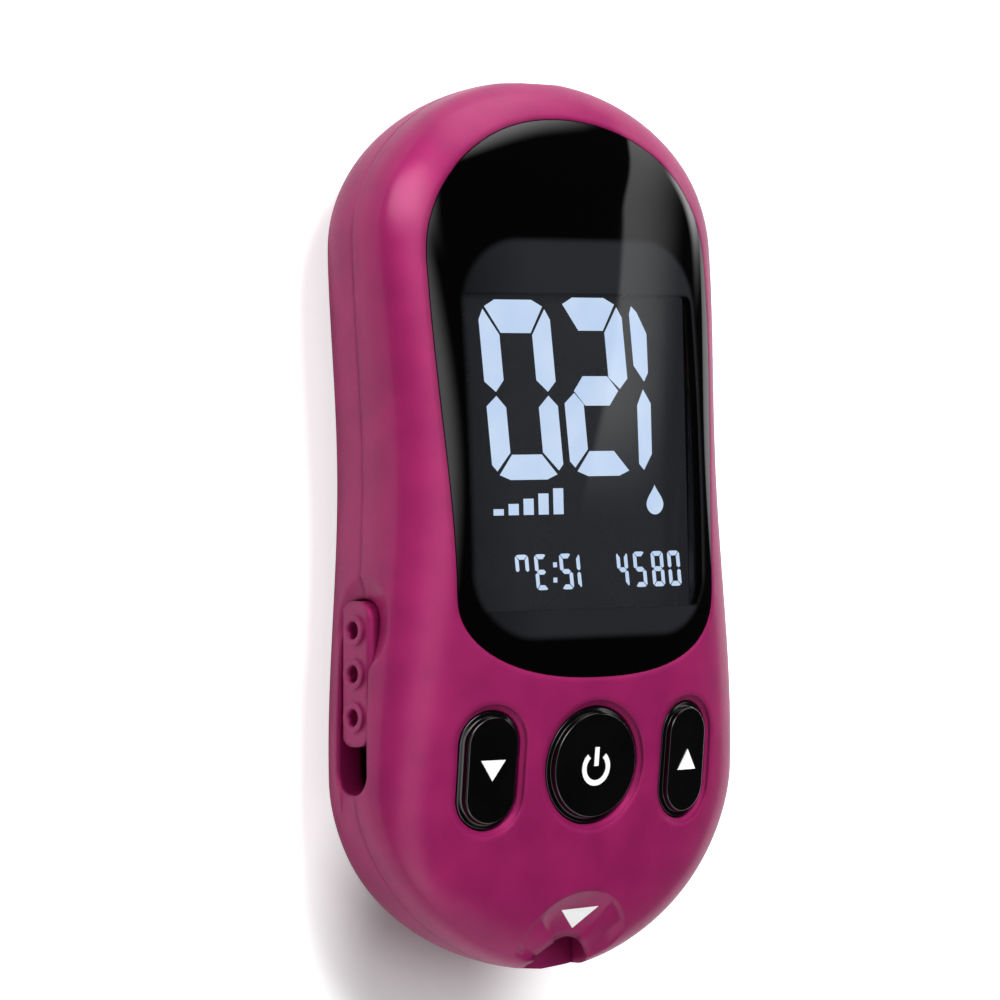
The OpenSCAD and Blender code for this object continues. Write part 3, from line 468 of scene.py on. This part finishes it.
# polished acrylic, printed black behind round a smoked field, with a clear pane over the display
def printedAcrylic():
    material, tree = newMaterial("printedAcrylic")
    place = add(tree, "ShaderNodeTexCoord")
    border = outsideOf(tree, place, window["field"])
    dark = outsideOf(tree, place, window["pane"])
    parts = add(tree, "ShaderNodeSeparateXYZ", {}, {0: (place, "Object")})
    across = add(tree, "ShaderNodeMapRange",
                 {"From Min": window["fadeMm"][0] * mm, "From Max": window["fadeMm"][1] * mm},
                 {"Value": (parts, 0)})
    grey = add(tree, "ShaderNodeValToRGB",
               {"stops": [(0.0, window["grey"][0]), (1.0, window["grey"][1])]}, {0: (across, 0)})
    printed = add(tree, "ShaderNodeMix", {"data_type": "RGBA", "B": toLinear(window["black"])},
                  {"Factor": (border, 0), "A": (grey, 0)})
    wave = add(tree, "ShaderNodeTexNoise", {"Scale": 1000 / window["waveMm"], "Detail": 1.0},
               {"Vector": (place, "Object")})
    rough = add(tree, "ShaderNodeValToRGB", {"stops": between(*window["rough"])}, {0: (wave, 0)})
    solid = add(tree, "ShaderNodeBsdfPrincipled", {"IOR": window["ior"]},
                {"Base Color": (printed, 2), "Roughness": (rough, 0)})
    clear = add(tree, "ShaderNodeBsdfTransparent", {"Color": toLinear(window["clear"])})
    gloss = add(tree, "ShaderNodeBsdfGlossy", {"Color": (1, 1, 1, 1)}, {"Roughness": (rough, 0)})
    fresnel = add(tree, "ShaderNodeFresnel", {"IOR": window["ior"]})
    shape = add(tree, "ShaderNodeNewGeometry")  # the pane shines on its outer faces alone
    front = add(tree, "ShaderNodeMath", {"operation": "SUBTRACT", 0: 1.0}, {1: (shape, "Backfacing")})
    share = add(tree, "ShaderNodeMath", {"operation": "MULTIPLY"}, {0: (fresnel, 0), 1: (front, 0)})
    pane = add(tree, "ShaderNodeMixShader", {}, {0: (share, 0), 1: (clear, 0), 2: (gloss, 0)})
    closed = add(tree, "ShaderNodeMath", {"operation": "MAXIMUM"}, {0: (dark, 0), 1: (border, 0)})
    both = add(tree, "ShaderNodeMixShader", {}, {0: (closed, 0), 1: (pane, 0), 2: (solid, 0)})
    add(tree, "ShaderNodeOutputMaterial", {}, {"Surface": (both, 0)})
    return material


crystal = {  # the display's glass and its lit figures
    # glow: faint backlight plus painted light for the room light the glass would reflect
    "base": "#050506", "glow": ("#111214", "#252629"), "cloudMm": 8.0, "rough": (0.2, 0.3), "ior": 1.52,
    "lit": ("#C9DEFA", "#D6E8FD"), "litCloudMm": 6.0, "litStrength": 1.05,
}


# glass of a negative liquid crystal: almost black, with a faint glow that is partly its backlight and partly
# painted light for the room light it would reflect, dimmer towards its -X side
def negativeGlass():
    material, tree = newMaterial("negativeLcdGlass")
    place = add(tree, "ShaderNodeTexCoord")
    parts = add(tree, "ShaderNodeSeparateXYZ", {}, {0: (place, "Object")})
    across = add(tree, "ShaderNodeMapRange",
                 {"From Min": window["fadeMm"][0] * mm, "From Max": window["fadeMm"][1] * mm},
                 {"Value": (parts, 0)})
    # painted light: this glow ramp stands in for room light on the glass as well as the backlight, dimmer
    # towards -X
    glow = add(tree, "ShaderNodeValToRGB",
               {"stops": [(0.0, crystal["glow"][0]), (1.0, crystal["glow"][1])]}, {0: (across, 0)})
    cloud = add(tree, "ShaderNodeTexNoise", {"Scale": 1000 / crystal["cloudMm"]},
                {"Vector": (place, "Object")})
    rough = add(tree, "ShaderNodeValToRGB", {"stops": between(*crystal["rough"])}, {0: (cloud, 0)})
    shader = add(tree, "ShaderNodeBsdfPrincipled",
                 {"Base Color": toLinear(crystal["base"]), "IOR": crystal["ior"], "Emission Strength": 1.0},
                 {"Roughness": (rough, 0), "Emission Color": (glow, 0)})
    add(tree, "ShaderNodeOutputMaterial", {}, {"Surface": (shader, 0)})
    return material


# lit segments: pale blue, a little uneven as an edge lit display is
def litCrystal():
    material, tree = newMaterial("litCrystal")
    place = add(tree, "ShaderNodeTexCoord")
    cloud = add(tree, "ShaderNodeTexNoise", {"Scale": 1000 / crystal["litCloudMm"]},
                {"Vector": (place, "Object")})
    colour = add(tree, "ShaderNodeValToRGB", {"stops": between(*crystal["lit"])}, {0: (cloud, 0)})
    shader = add(tree, "ShaderNodeEmission", {"Strength": crystal["litStrength"]}, {"Color": (colour, 0)})
    add(tree, "ShaderNodeOutputMaterial", {}, {"Surface": (shader, 0)})
    return material


sleeve = {  # mm: a cell's print runs along it, and its copper part starts at a share of the length
    "reach": 30, "dark": ("#2B3038", "#2E343D"), "copper": ("#B3703A", "#BC7A42"), "bandAt": 0.345,
    "cloudMm": 5.0, "rough": (0.22, 0.32),
}


# printed film round a steel can: a plain dark sleeve with a copper band
def printedFilm():
    material, tree = newMaterial("printedCellFilm")
    place = add(tree, "ShaderNodeTexCoord")
    parts = add(tree, "ShaderNodeSeparateXYZ", {}, {0: (place, "Object")})
    cloud = add(tree, "ShaderNodeTexNoise", {"Scale": 1000 / sleeve["cloudMm"]},
                {"Vector": (place, "Object")})
    side = add(tree, "ShaderNodeMath", {"operation": "SIGN"}, {0: (parts, 0)})
    along = add(tree, "ShaderNodeMath", {"operation": "MULTIPLY"}, {0: (parts, 1), 1: (side, 0)})
    share = add(tree, "ShaderNodeMapRange",
                {"From Min": -sleeve["reach"] * mm, "From Max": sleeve["reach"] * mm},
                {"Value": (along, 0)})
    stops = [(0.0, sleeve["dark"][0]), (0.34, sleeve["dark"][1]),
             (sleeve["bandAt"], sleeve["copper"][0]), (1.0, sleeve["copper"][1])]
    colour = add(tree, "ShaderNodeValToRGB", {"stops": stops}, {0: (share, 0)})
    colour.color_ramp.interpolation = "CONSTANT"
    rough = add(tree, "ShaderNodeValToRGB", {"stops": between(*sleeve["rough"])}, {0: (cloud, 0)})
    shader = add(tree, "ShaderNodeBsdfPrincipled", {"Metallic": 0.5, "Coat Weight": 0.3},
                 {"Base Color": (colour, 0), "Roughness": (rough, 0)})
    add(tree, "ShaderNodeOutputMaterial", {}, {"Surface": (shader, 0)})
    return material


acrylic = printedAcrylic()
crystalGlass = negativeGlass()
litSegments = litCrystal()
cellFilm = printedFilm()
print("materials made")

frontCase = smoothSkin("front_shell", "frontCase", "housing", 1, (0.0, 0.45, 1.3), pearlAbs)
smoothSkin("rear_shell", "rearCase", "housing", -1, (0.0,), pearlAbs, (0.5, 0.9))
smoothSkin("display_lens", "windowLens", "housing", 1, (0.0, 1.2), acrylic, (0.6, 0.8), 3.0)

darkWell = {"halfWidth": 17.5, "y": (-12.5, 28.5), "z": 15.0, "depth": 1.25}  # mm; depth is below the crown


# the walls deep under the glass take the black nylon finish, so that no magenta shows beside the display
def blackenWell(mesh, well):
    mesh.materials.append(blackNylon)
    centres = np.array([face.center for face in mesh.polygons]) / mm
    depth = -skinDistance(centres, 0.0, 1)[0]
    inside = ((np.abs(centres[:, 0]) < well["halfWidth"]) & (centres[:, 1] > well["y"][0])
              & (centres[:, 1] < well["y"][1]) & (centres[:, 2] > well["z"]) & (depth > well["depth"]))
    for face, dark in zip(mesh.polygons, inside):
        face.material_index = int(dark)


blackenWell(frontCase.data, darkWell)

keys = {  # mm; the caps stand a little out of the crown
    "rowY": -26.8, "setRadius": 6.45, "sideWidth": 7.3, "sideLength": 13.0, "sideX": 14.1, "rise": 0.29,
    "flange": 0.8, "footZ": 16.35, "flangeThick": 0.6, "points": 120, "sharpAngle": 50, "signSink": 0.09,
}
rowY = keys["rowY"]


def discOutline(d):
    n, r = keys["points"], keys["setRadius"] + d
    turns = [2 * math.pi * i / n for i in range(n)]
    return [(r * math.cos(a), rowY + r * math.sin(a)) for a in turns]


def sideOutline(d, x0):
    n, r = keys["points"], keys["sideWidth"] / 2 + d
    half = (keys["sideLength"] - keys["sideWidth"]) / 2
    turns = [2 * math.pi * (i + 0.5) / n for i in range(n)]
    return [(x0 + r * math.cos(a), rowY + math.copysign(half, math.sin(a)) + r * math.sin(a))
            for a in turns]


# profile of a cap, mm: offset from its outline and height over its face
capLedge = [(0, -1.3), (0, -0.86), (-0.04, -0.81), (-0.1, -0.79), (-0.3, -0.75), (-0.5, -0.7)]
capRim = [(-0.54, -0.67), (-0.56, -0.6), (-0.6, -0.35), (-0.63, -0.14), (-0.66, -0.07), (-0.71, -0.03),
          (-0.78, -0.01), (-0.86, 0), (-0.95, -0.01), (-1.1, -0.02)]
capTop = {"start": -1.1, "left": 1.3, "height": -0.02, "hollow": 0.05,
          "rings": (0.12, 0.25, 0.4, 0.55, 0.7, 0.85, 0.97)}


# a cap: flange, low ledge, steep rim with a small radius, then a barely hollow top
def makeKey(node, name, body, outline, reach):
    foot, step = keys["footZ"], keys["footZ"] + keys["flangeThick"]
    rings = [[(x, y, z) for x, y in outline(d)]
             for d, z in ((keys["flange"], foot), (keys["flange"], step), (0, step))]
    top = [(capTop["start"] - (reach - capTop["left"]) * u, capTop["height"] - capTop["hollow"] * ease(u))
           for u in capTop["rings"]]
    for d, drop in capLedge + capRim + top:
        rings.append([(x, y, float(faceZ(x, y)) + keys["rise"] + drop) for x, y in outline(d)])
    piece = newPiece(name, meshFrom(name, ringBody(rings), keys["sharpAngle"]), body, pianoAbs)
    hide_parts(node)


# height that the printed signs start at, just under the cap's hollow top
def keyTop(x, y):
    return float(faceZ(x, y)) + keys["rise"] - keys["signSink"]


makeKey("set_button", "setKey", "set_key", discOutline, keys["setRadius"])
for side, node, name, body in ((-1, "down_button", "downKey", "down_key"),
                               (1, "up_button", "upKey", "up_key")):
    makeKey(node, name, body, lambda d: sideOutline(d, side * keys["sideX"]), keys["sideWidth"] / 2)

legends = {  # mm and degrees; the power sign is a ring, open at its top, and a bar
    "arrowWidth": 3.05, "arrowHeight": 2.3, "ringRadius": 1.7, "ringDown": 0.3, "ringArc": (40, 321),
    "bar": (2.0, -0.1), "stroke": 0.62, "printed": 0.1,
}


# pieces of a stroke of even width along points
def strokePath(points, width):
    left, right = [], []
    for i, p in enumerate(points):
        a, b = points[max(i - 1, 0)], points[min(i + 1, len(points) - 1)]
        along = Vector((b[0] - a[0], b[1] - a[1])).normalized() * width / 2
        left.append((p[0] - along.y, p[1] + along.x))
        right.append((p[0] + along.y, p[1] - along.x))
    return [[left[i], left[i + 1], right[i + 1], right[i]] for i in range(len(points) - 1)]


for way, name, body in ((-1, "downArrow", "down_key"), (1, "upArrow", "up_key")):
    x0, w, h = way * keys["sideX"], legends["arrowWidth"] / 2, legends["arrowHeight"] / 2 * way
    outline = [(x0 - w, rowY - h), (x0 + w, rowY - h), (x0, rowY + h)]
    newPiece(name, prismPatch(name, [outline], keyTop, legends["printed"]), body, whiteInk)
arc = [math.radians(a) for a in range(*legends["ringArc"], 10)]
ringY = rowY - legends["ringDown"]
ring = [(legends["ringRadius"] * math.sin(a), ringY + legends["ringRadius"] * math.cos(a)) for a in arc]
bar = [(0, rowY + y) for y in legends["bar"]]
powerSign = strokePath(ring, legends["stroke"]) + strokePath(bar, legends["stroke"])
newPiece("powerSign", prismPatch("powerSign", powerSign, keyTop, legends["printed"]),
         "set_key", whiteInk)
print("keys made")

# lit figures, mm: segments, left edge, foot and size; bars are a digit's top, middle and foot
display = {
    "z": 17.66, "thick": 0.02, "split": 3.0, "lean": -0.09,
    "large": {"upright": 2.75, "bars": (3.7, 3.3, 2.8), "gap": 0.22},
    "small": {"upright": 0.5, "bars": (0.55, 0.55, 0.55), "gap": 0.08},
    "largeFigures": (("abcdef", -11.2, 5.1, 10.2, 20.0), ("abged", 0.0, 5.4, 9.5, 20.0)),
    "smallFigures": (("abf", -8.1, 1.9), ("afged", -5.35, 1.8), ("afgcd", -1.75, 1.8), ("bc", -0.7, 1.9),
                     ("fgbc", 6.6, 1.6), ("afgcd", 9.05, 1.8), ("abcdefg", 11.7, 1.8),
                     ("abcdef", 14.15, 1.8)),
    "smallFoot": -7.2, "smallHeight": 4.0,
    "blades": (((9.0, 23.6), (9.3, 24.5), (10.1, 23.8), (11.5, 21.4), (11.6, 17.0), (11.0, 16.0),
                (9.5, 17.8)),
               ((10.8, 15.1), (11.9, 13.5), (11.9, 7.8), (10.7, 6.0), (10.0, 6.7), (9.9, 13.3))),
    "colon": {"x": -2.95, "feet": (-6.4, -4.7), "size": 0.55},
    "gauge": {"x": -11.3, "y": 1.2, "pitch": 2.15, "width": 1.45, "first": 0.7, "rise": 0.55, "bars": 5},
    "drop": {"centre": (12.2, 2.2), "radius": 1.25, "tall": 1.7, "points": 28},
}


# outlines of the seven segments of a digit w wide and h high: t its uprights, g the gaps;
# the corners are cut by shares of t and of the bars
def segmentShapes(w, h, t, bars, g):
    top, middle, foot = bars
    m = (h - top + foot) / 2
    return {
        "a": [(t * 0.35, h - top * 0.2), (t * 0.9, h), (w - t * 0.9, h), (w - t * 0.35, h - top * 0.2),
              (w - t - g, h - top), (t + g, h - top)],
        "d": [(t * 0.35, foot * 0.2), (t + g, foot), (w - t - g, foot), (w - t * 0.35, foot * 0.2),
              (w - t * 0.9, 0), (t * 0.9, 0)],
        "g": [(t + g, m + middle / 2), (w - t - g, m + middle / 2), (w - t * 0.55, m),
              (w - t - g, m - middle / 2), (t + g, m - middle / 2), (t * 0.55, m)],
        "f": [(0, m + t * 0.5), (0, h - top * 0.6), (t * 0.25, h - top * 0.28), (t, h - top - g),
              (t, m + t * 0.55), (t * 0.55, m + g)],
        "b": [(w, m + t * 0.5), (w - t * 0.45, m + g), (w - t, m + t * 0.55), (w - t, h - top - g),
              (w - t * 0.25, h - top * 0.28), (w, h - top * 0.6)],
        "e": [(0, m - t * 0.5), (t * 0.55, m - g), (t, m - t * 0.55), (t, foot + g),
              (t * 0.25, foot * 0.35), (0, foot * 0.6)],
        "c": [(w, m - t * 0.5), (w, foot * 0.6), (w - t * 0.25, foot * 0.35), (w - t, foot + g),
              (w - t, m - t * 0.55), (w - t * 0.45, m - g)],
    }


def digit(segments, x0, y0, w, h, kind):
    shapes = segmentShapes(w, h, kind["upright"], kind["bars"], kind["gap"])
    return [[(x0 + x + display["lean"] * y, y0 + y) for x, y in shapes[s]] for s in segments]


def rectangle(x, y, w, h):
    return [(x, y), (x + w, y), (x + w, y + h), (x, y + h)]


# a round drop drawn out to a point at its top
def dropOutline(shape):
    outline = []
    for i in range(shape["points"]):
        a = 2 * math.pi * i / shape["points"]
        up = max(0, math.sin(a))
        wide, high = 1 - up ** 1.5 * 0.98, shape["tall"] if up else 1.0
        outline.append((shape["centre"][0] + shape["radius"] * math.cos(a) * wide,
                        shape["centre"][1] + shape["radius"] * math.sin(a) * high))
    return outline


characters = []
for segments, x0, y0, w, h in display["largeFigures"]:
    characters += digit(segments, x0, y0, w, h, display["large"])
characters += display["blades"]  # the last figure is two narrow blades
for segments, x0, w in display["smallFigures"]:
    characters += digit(segments, x0, display["smallFoot"], w, display["smallHeight"], display["small"])
colon, gauge = display["colon"], display["gauge"]
for foot in colon["feet"]:
    characters.append(rectangle(colon["x"], foot, colon["size"], colon["size"]))
for i in range(gauge["bars"]):  # a plain level gauge
    characters.append(rectangle(gauge["x"] + i * gauge["pitch"], gauge["y"], gauge["width"],
                                gauge["first"] + gauge["rise"] * i))
characters.append(dropOutline(display["drop"]))
newPiece("displayCharacters",
         prismPatch("displayCharacters", characters, lambda x, y: display["z"], display["thick"],
                    display["split"]),
         "housing", litSegments)
print("display made")

port = {  # mm and degrees; the scoop's floor falls away from its top edge
    "arrow": ((0.45, -45.2), (3.35, -42.85), (-2.0, -43.0)), "printed": 0.06,
    "topY": -40.9, "tilt": 28, "recess": 0.15, "sink": 0.03,
}


def portFloor(x, y):
    slope = math.radians(port["tilt"])
    edge = float(faceZ(0, port["topY"])) - port["recess"] / math.cos(slope)
    return edge - math.tan(slope) * (port["topY"] - y) - port["sink"]


newPiece("portArrow", prismPatch("portArrow", [port["arrow"]], portFloor, port["printed"]),
         "housing", whiteInk)

returnSpring = {  # mm; around and steps are points round the wire and round a turn
    "turns": 7, "wire": 0.35, "travel": 5.1, "around": 8, "steps": 20, "sharpAngle": 50,
}


# the ejector's coil of drawn wire, built at rest in the CAD spring's box; the real coil closes up on its low
# seat as the thumb piece comes down
def makeReturnSpring():
    low, high = (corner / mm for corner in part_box("ejector_spring"))
    wire = returnSpring["wire"] / 2
    radius, middle = (high.x - low.x) / 2 - wire, (low + high) / 2
    start, length = low.y + wire, high.y - low.y - 2 * wire
    count = returnSpring["turns"] * returnSpring["steps"]
    pitch = length / returnSpring["turns"]
    rings = []
    for i in range(count + 1):
        a = 2 * math.pi * i / returnSpring["steps"]
        out = Vector((math.cos(a), 0, math.sin(a)))
        along = Vector((-radius * math.sin(a), pitch / (2 * math.pi), radius * math.cos(a)))
        across = out.cross(along).normalized()
        centre = Vector((middle.x, start + length * i / count, middle.z)) + out * radius
        rings.append([centre + wire * (math.cos(k) * out + math.sin(k) * across)
                      for k in np.linspace(0, 2 * math.pi, returnSpring["around"], endpoint=False)])
    bm = ringBody(rings)
    bmesh.ops.recalc_face_normals(bm, faces=bm.faces)
    spring = newPiece("returnSpring", meshFrom("returnSpring", bm, returnSpring["sharpAngle"]),
                      "housing", platedSteel)
    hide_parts("ejector_spring")
    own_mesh(spring)


makeReturnSpring()

# CAD nodes that keep their shape
finishes = {
    "ejector_slider": pearlAbs, "battery_door": pearlAbs, "lcd_panel": crystalGlass,
    "lcd_frame": blackNylon, "backlight": frostedAcrylic, "elastomer_strip": carbonSilicone,
    "main_board": solderMask, "board_parts": mouldedEpoxy, "board_screws": platedSteel,
    "tact_switches": platedSteel, "buzzer": mouldedEpoxy, "strip_connector": whiteAcetal,
    "strip_contacts": giltBronze, "ejector_arm": whiteAcetal, "battery_cells": cellFilm,
    "battery_contacts": platedSteel, "battery_springs": platedSteel, "housing_screws": platedSteel,
}
for name, material in finishes.items():
    mesh = nodes[name].data
    mesh.materials.clear()
    mesh.materials.append(material)
print("materials set")

stage = {  # metres and strengths; fill is the even light of the room
    "floorSize": 6.0, "below": 0.0001, "board": ("#F0F0F0", "#F4F4F4"), "cloudScale": 3.0,
    # the camera glow fades out round the button end: a painted shadow that darkens the cast one there
    "glow": 0.66, "paintedShadowAt": (-0.009, -0.050, 0), "paintedShadowReach": (0.006, 0.024), "fill": 0.42,
}


# white painted board that keeps the shadow; its glow for the camera fades under the button end, which paints
# the shadow there darker
def makeFloor():
    half = stage["floorSize"] / 2
    mesh = bpy.data.meshes.new("floor")
    low = -stage["below"]
    corners = [(-half, -half, low), (half, -half, low), (half, half, low), (-half, half, low)]
    mesh.from_pydata(corners, [], [(0, 1, 2, 3)])
    floor = bpy.data.objects.new("floor", mesh)
    bpy.context.scene.collection.objects.link(floor)
    material, tree = newMaterial("paintedBoard")
    place = add(tree, "ShaderNodeTexCoord")
    cloud = add(tree, "ShaderNodeTexNoise", {"Scale": stage["cloudScale"]}, {"Vector": (place, "Object")})
    colour = add(tree, "ShaderNodeValToRGB", {"stops": between(*stage["board"])}, {0: (cloud, 0)})
    base = add(tree, "ShaderNodeBsdfDiffuse", {}, {"Color": (colour, 0)})
    # painted shadow: less camera glow near the button end, so the floor reads darker there
    away = add(tree, "ShaderNodeVectorMath", {"operation": "DISTANCE", 1: stage["paintedShadowAt"]},
               {0: (place, "Object")})
    glow = add(tree, "ShaderNodeMapRange",
               {"interpolation_type": "SMOOTHSTEP", "From Min": stage["paintedShadowReach"][0],
                "From Max": stage["paintedShadowReach"][1], "To Max": stage["glow"]}, {"Value": (away, "Value")})
    ray = add(tree, "ShaderNodeLightPath")
    seen = add(tree, "ShaderNodeMath", {"operation": "MULTIPLY"}, {0: (ray, "Is Camera Ray"), 1: (glow, 0)})
    light = add(tree, "ShaderNodeEmission", {"Color": (1, 1, 1, 1)}, {"Strength": (seen, 0)})
    both = add(tree, "ShaderNodeAddShader", {}, {0: (base, 0), 1: (light, 0)})
    add(tree, "ShaderNodeOutputMaterial", {}, {"Surface": (both, 0)})
    mesh.materials.append(material)


# what shines in gloss: a window is the product of soft ramps (axis, from, to) of the ray's direction
glossWindows = {
    "overhead": {"strength": 1.7, "ramps": (("x", -0.85, -0.42), ("x", -0.12, -0.38), ("y", -1.3, -0.8),
                                            ("y", 0.8, 0.45), ("z", 0.0, 0.35))},
    "topLeft": {"strength": 6.5, "ramps": (("x", -0.95, -0.7), ("x", 0.02, -0.3), ("y", 0.22, 0.55),
                                           ("y", 0.9, 0.7), ("z", 0.1, 0.35))},
    "front": {"strength": 1.0, "ramps": (("y", -0.65, -0.88), ("z", -0.1, 0.1))},
    "behind": {"strength": 3.0, "ramps": (("x", -0.2, 0.3), ("x", 0.85, 0.6), ("y", 0.7, 0.84),
                                          ("z", -0.05, 0.05))},
    "sparkle": {"strength": 3.0, "ramps": (("x", 0.88, 0.94), ("y", 0.1, 0.25), ("y", 0.5, 0.38),
                                           ("z", -0.05, 0.0), ("z", 0.2, 0.08))},
}
# one more window with a slanting, bent and sharp edge: x = start + slope y + curve y squared
slantWindow = {
    "strength": 1.3, "edge": (0.60, 0.50, -0.36), "sharp": 0.012, "fade": (0.0, 0.26), "low": (-0.02, 0.12),
}
glossBase = 0.012  # what the rest of the room gives


# even light for the object, the windows above for gloss, and white for the camera
def makeWorld():
    world = bpy.data.worlds.new("studio")
    bpy.context.scene.world = world
    world.use_nodes = True
    tree = world.node_tree
    tree.nodes.clear()
    way = add(tree, "ShaderNodeTexCoord")
    parts = add(tree, "ShaderNodeSeparateXYZ", {}, {0: (way, "Generated")})
    total = add(tree, "ShaderNodeValue")
    total.outputs[0].default_value = glossBase
    for shape in glossWindows.values():
        share = add(tree, "ShaderNodeValue")
        share.outputs[0].default_value = shape["strength"]
        for axis, start, end in shape["ramps"]:
            up = end > start
            band = add(tree, "ShaderNodeMapRange",
                       {"interpolation_type": "SMOOTHSTEP", "From Min": min(start, end),
                        "From Max": max(start, end), "To Min": 0.0 if up else 1.0,
                        "To Max": 1.0 if up else 0.0},
                       {"Value": (parts, "xyz".index(axis))})
            share = add(tree, "ShaderNodeMath", {"operation": "MULTIPLY"}, {0: (share, 0), 1: (band, 0)})
        total = add(tree, "ShaderNodeMath", {"operation": "ADD"}, {0: (total, 0), 1: (share, 0)})
    start, slope, curve = slantWindow["edge"]
    bent = add(tree, "ShaderNodeMath", {"operation": "MULTIPLY_ADD", 1: curve, 2: slope}, {0: (parts, 1)})
    line = add(tree, "ShaderNodeMath", {"operation": "MULTIPLY_ADD", 2: start},
               {0: (parts, 1), 1: (bent, 0)})
    past = add(tree, "ShaderNodeMath", {"operation": "SUBTRACT"}, {0: (parts, 0), 1: (line, 0)})
    sharp = add(tree, "ShaderNodeMapRange",
                {"From Min": 0.0, "From Max": slantWindow["sharp"], "To Max": slantWindow["strength"]},
                {"Value": (past, 0)})
    fade = add(tree, "ShaderNodeMapRange",
               {"interpolation_type": "SMOOTHSTEP", "From Min": slantWindow["fade"][0],
                "From Max": slantWindow["fade"][1], "To Min": 1.0, "To Max": 0.0}, {"Value": (past, 0)})
    low = add(tree, "ShaderNodeMapRange",
              {"interpolation_type": "SMOOTHSTEP", "From Min": slantWindow["low"][0],
               "From Max": slantWindow["low"][1]}, {"Value": (parts, 1)})
    lit = add(tree, "ShaderNodeMath", {"operation": "MULTIPLY"}, {0: (sharp, 0), 1: (fade, 0)})
    lit = add(tree, "ShaderNodeMath", {"operation": "MULTIPLY"}, {0: (lit, 0), 1: (low, 0)})
    total = add(tree, "ShaderNodeMath", {"operation": "ADD"}, {0: (total, 0), 1: (lit, 0)})
    ray = add(tree, "ShaderNodeLightPath")
    soft = add(tree, "ShaderNodeBackground", {"Color": (1, 1, 1, 1), "Strength": stage["fill"]})
    shine = add(tree, "ShaderNodeBackground", {"Color": (1, 1, 1, 1)}, {"Strength": (total, 0)})
    white = add(tree, "ShaderNodeBackground", {"Color": (1, 1, 1, 1), "Strength": 1.0})
    first = add(tree, "ShaderNodeMixShader", {}, {0: (ray, "Is Glossy Ray"), 1: (soft, 0), 2: (shine, 0)})
    both = add(tree, "ShaderNodeMixShader", {}, {0: (ray, "Is Camera Ray"), 1: (first, 0), 2: (white, 0)})
    add(tree, "ShaderNodeOutputWorld", {}, {"Surface": (both, 0)})


lamps = {
    "keyPanel": {"place": (0.08, 0.8, 0.9), "aim": (0, 0, 0), "size": (0.4, 0.4), "power": 12.5},
    "topPanel": {"place": (0.25, 0.1, 1.1), "aim": (0, 0, 0), "size": (0.7, 0.7), "power": 3.0},
}


# soft panels at a plain level
def makeLamp(name, setup):
    data = bpy.data.lights.new(name, "AREA")
    data.shape = "RECTANGLE"
    data.size, data.size_y = setup["size"]
    data.energy = setup["power"]
    lamp = bpy.data.objects.new(name, data)
    bpy.context.scene.collection.objects.link(lamp)
    lamp.location = setup["place"]
    way = Vector(setup["aim"]) - Vector(setup["place"])
    lamp.rotation_euler = way.to_track_quat("-Z", "Y").to_euler()
    lamp.visible_glossy = False  # the world's windows are what shines


makeFloor()
makeWorld()
for name, setup in lamps.items():
    makeLamp(name, setup)
bpy.context.scene.view_settings.view_transform = "Standard"
print("floor and lamps set")
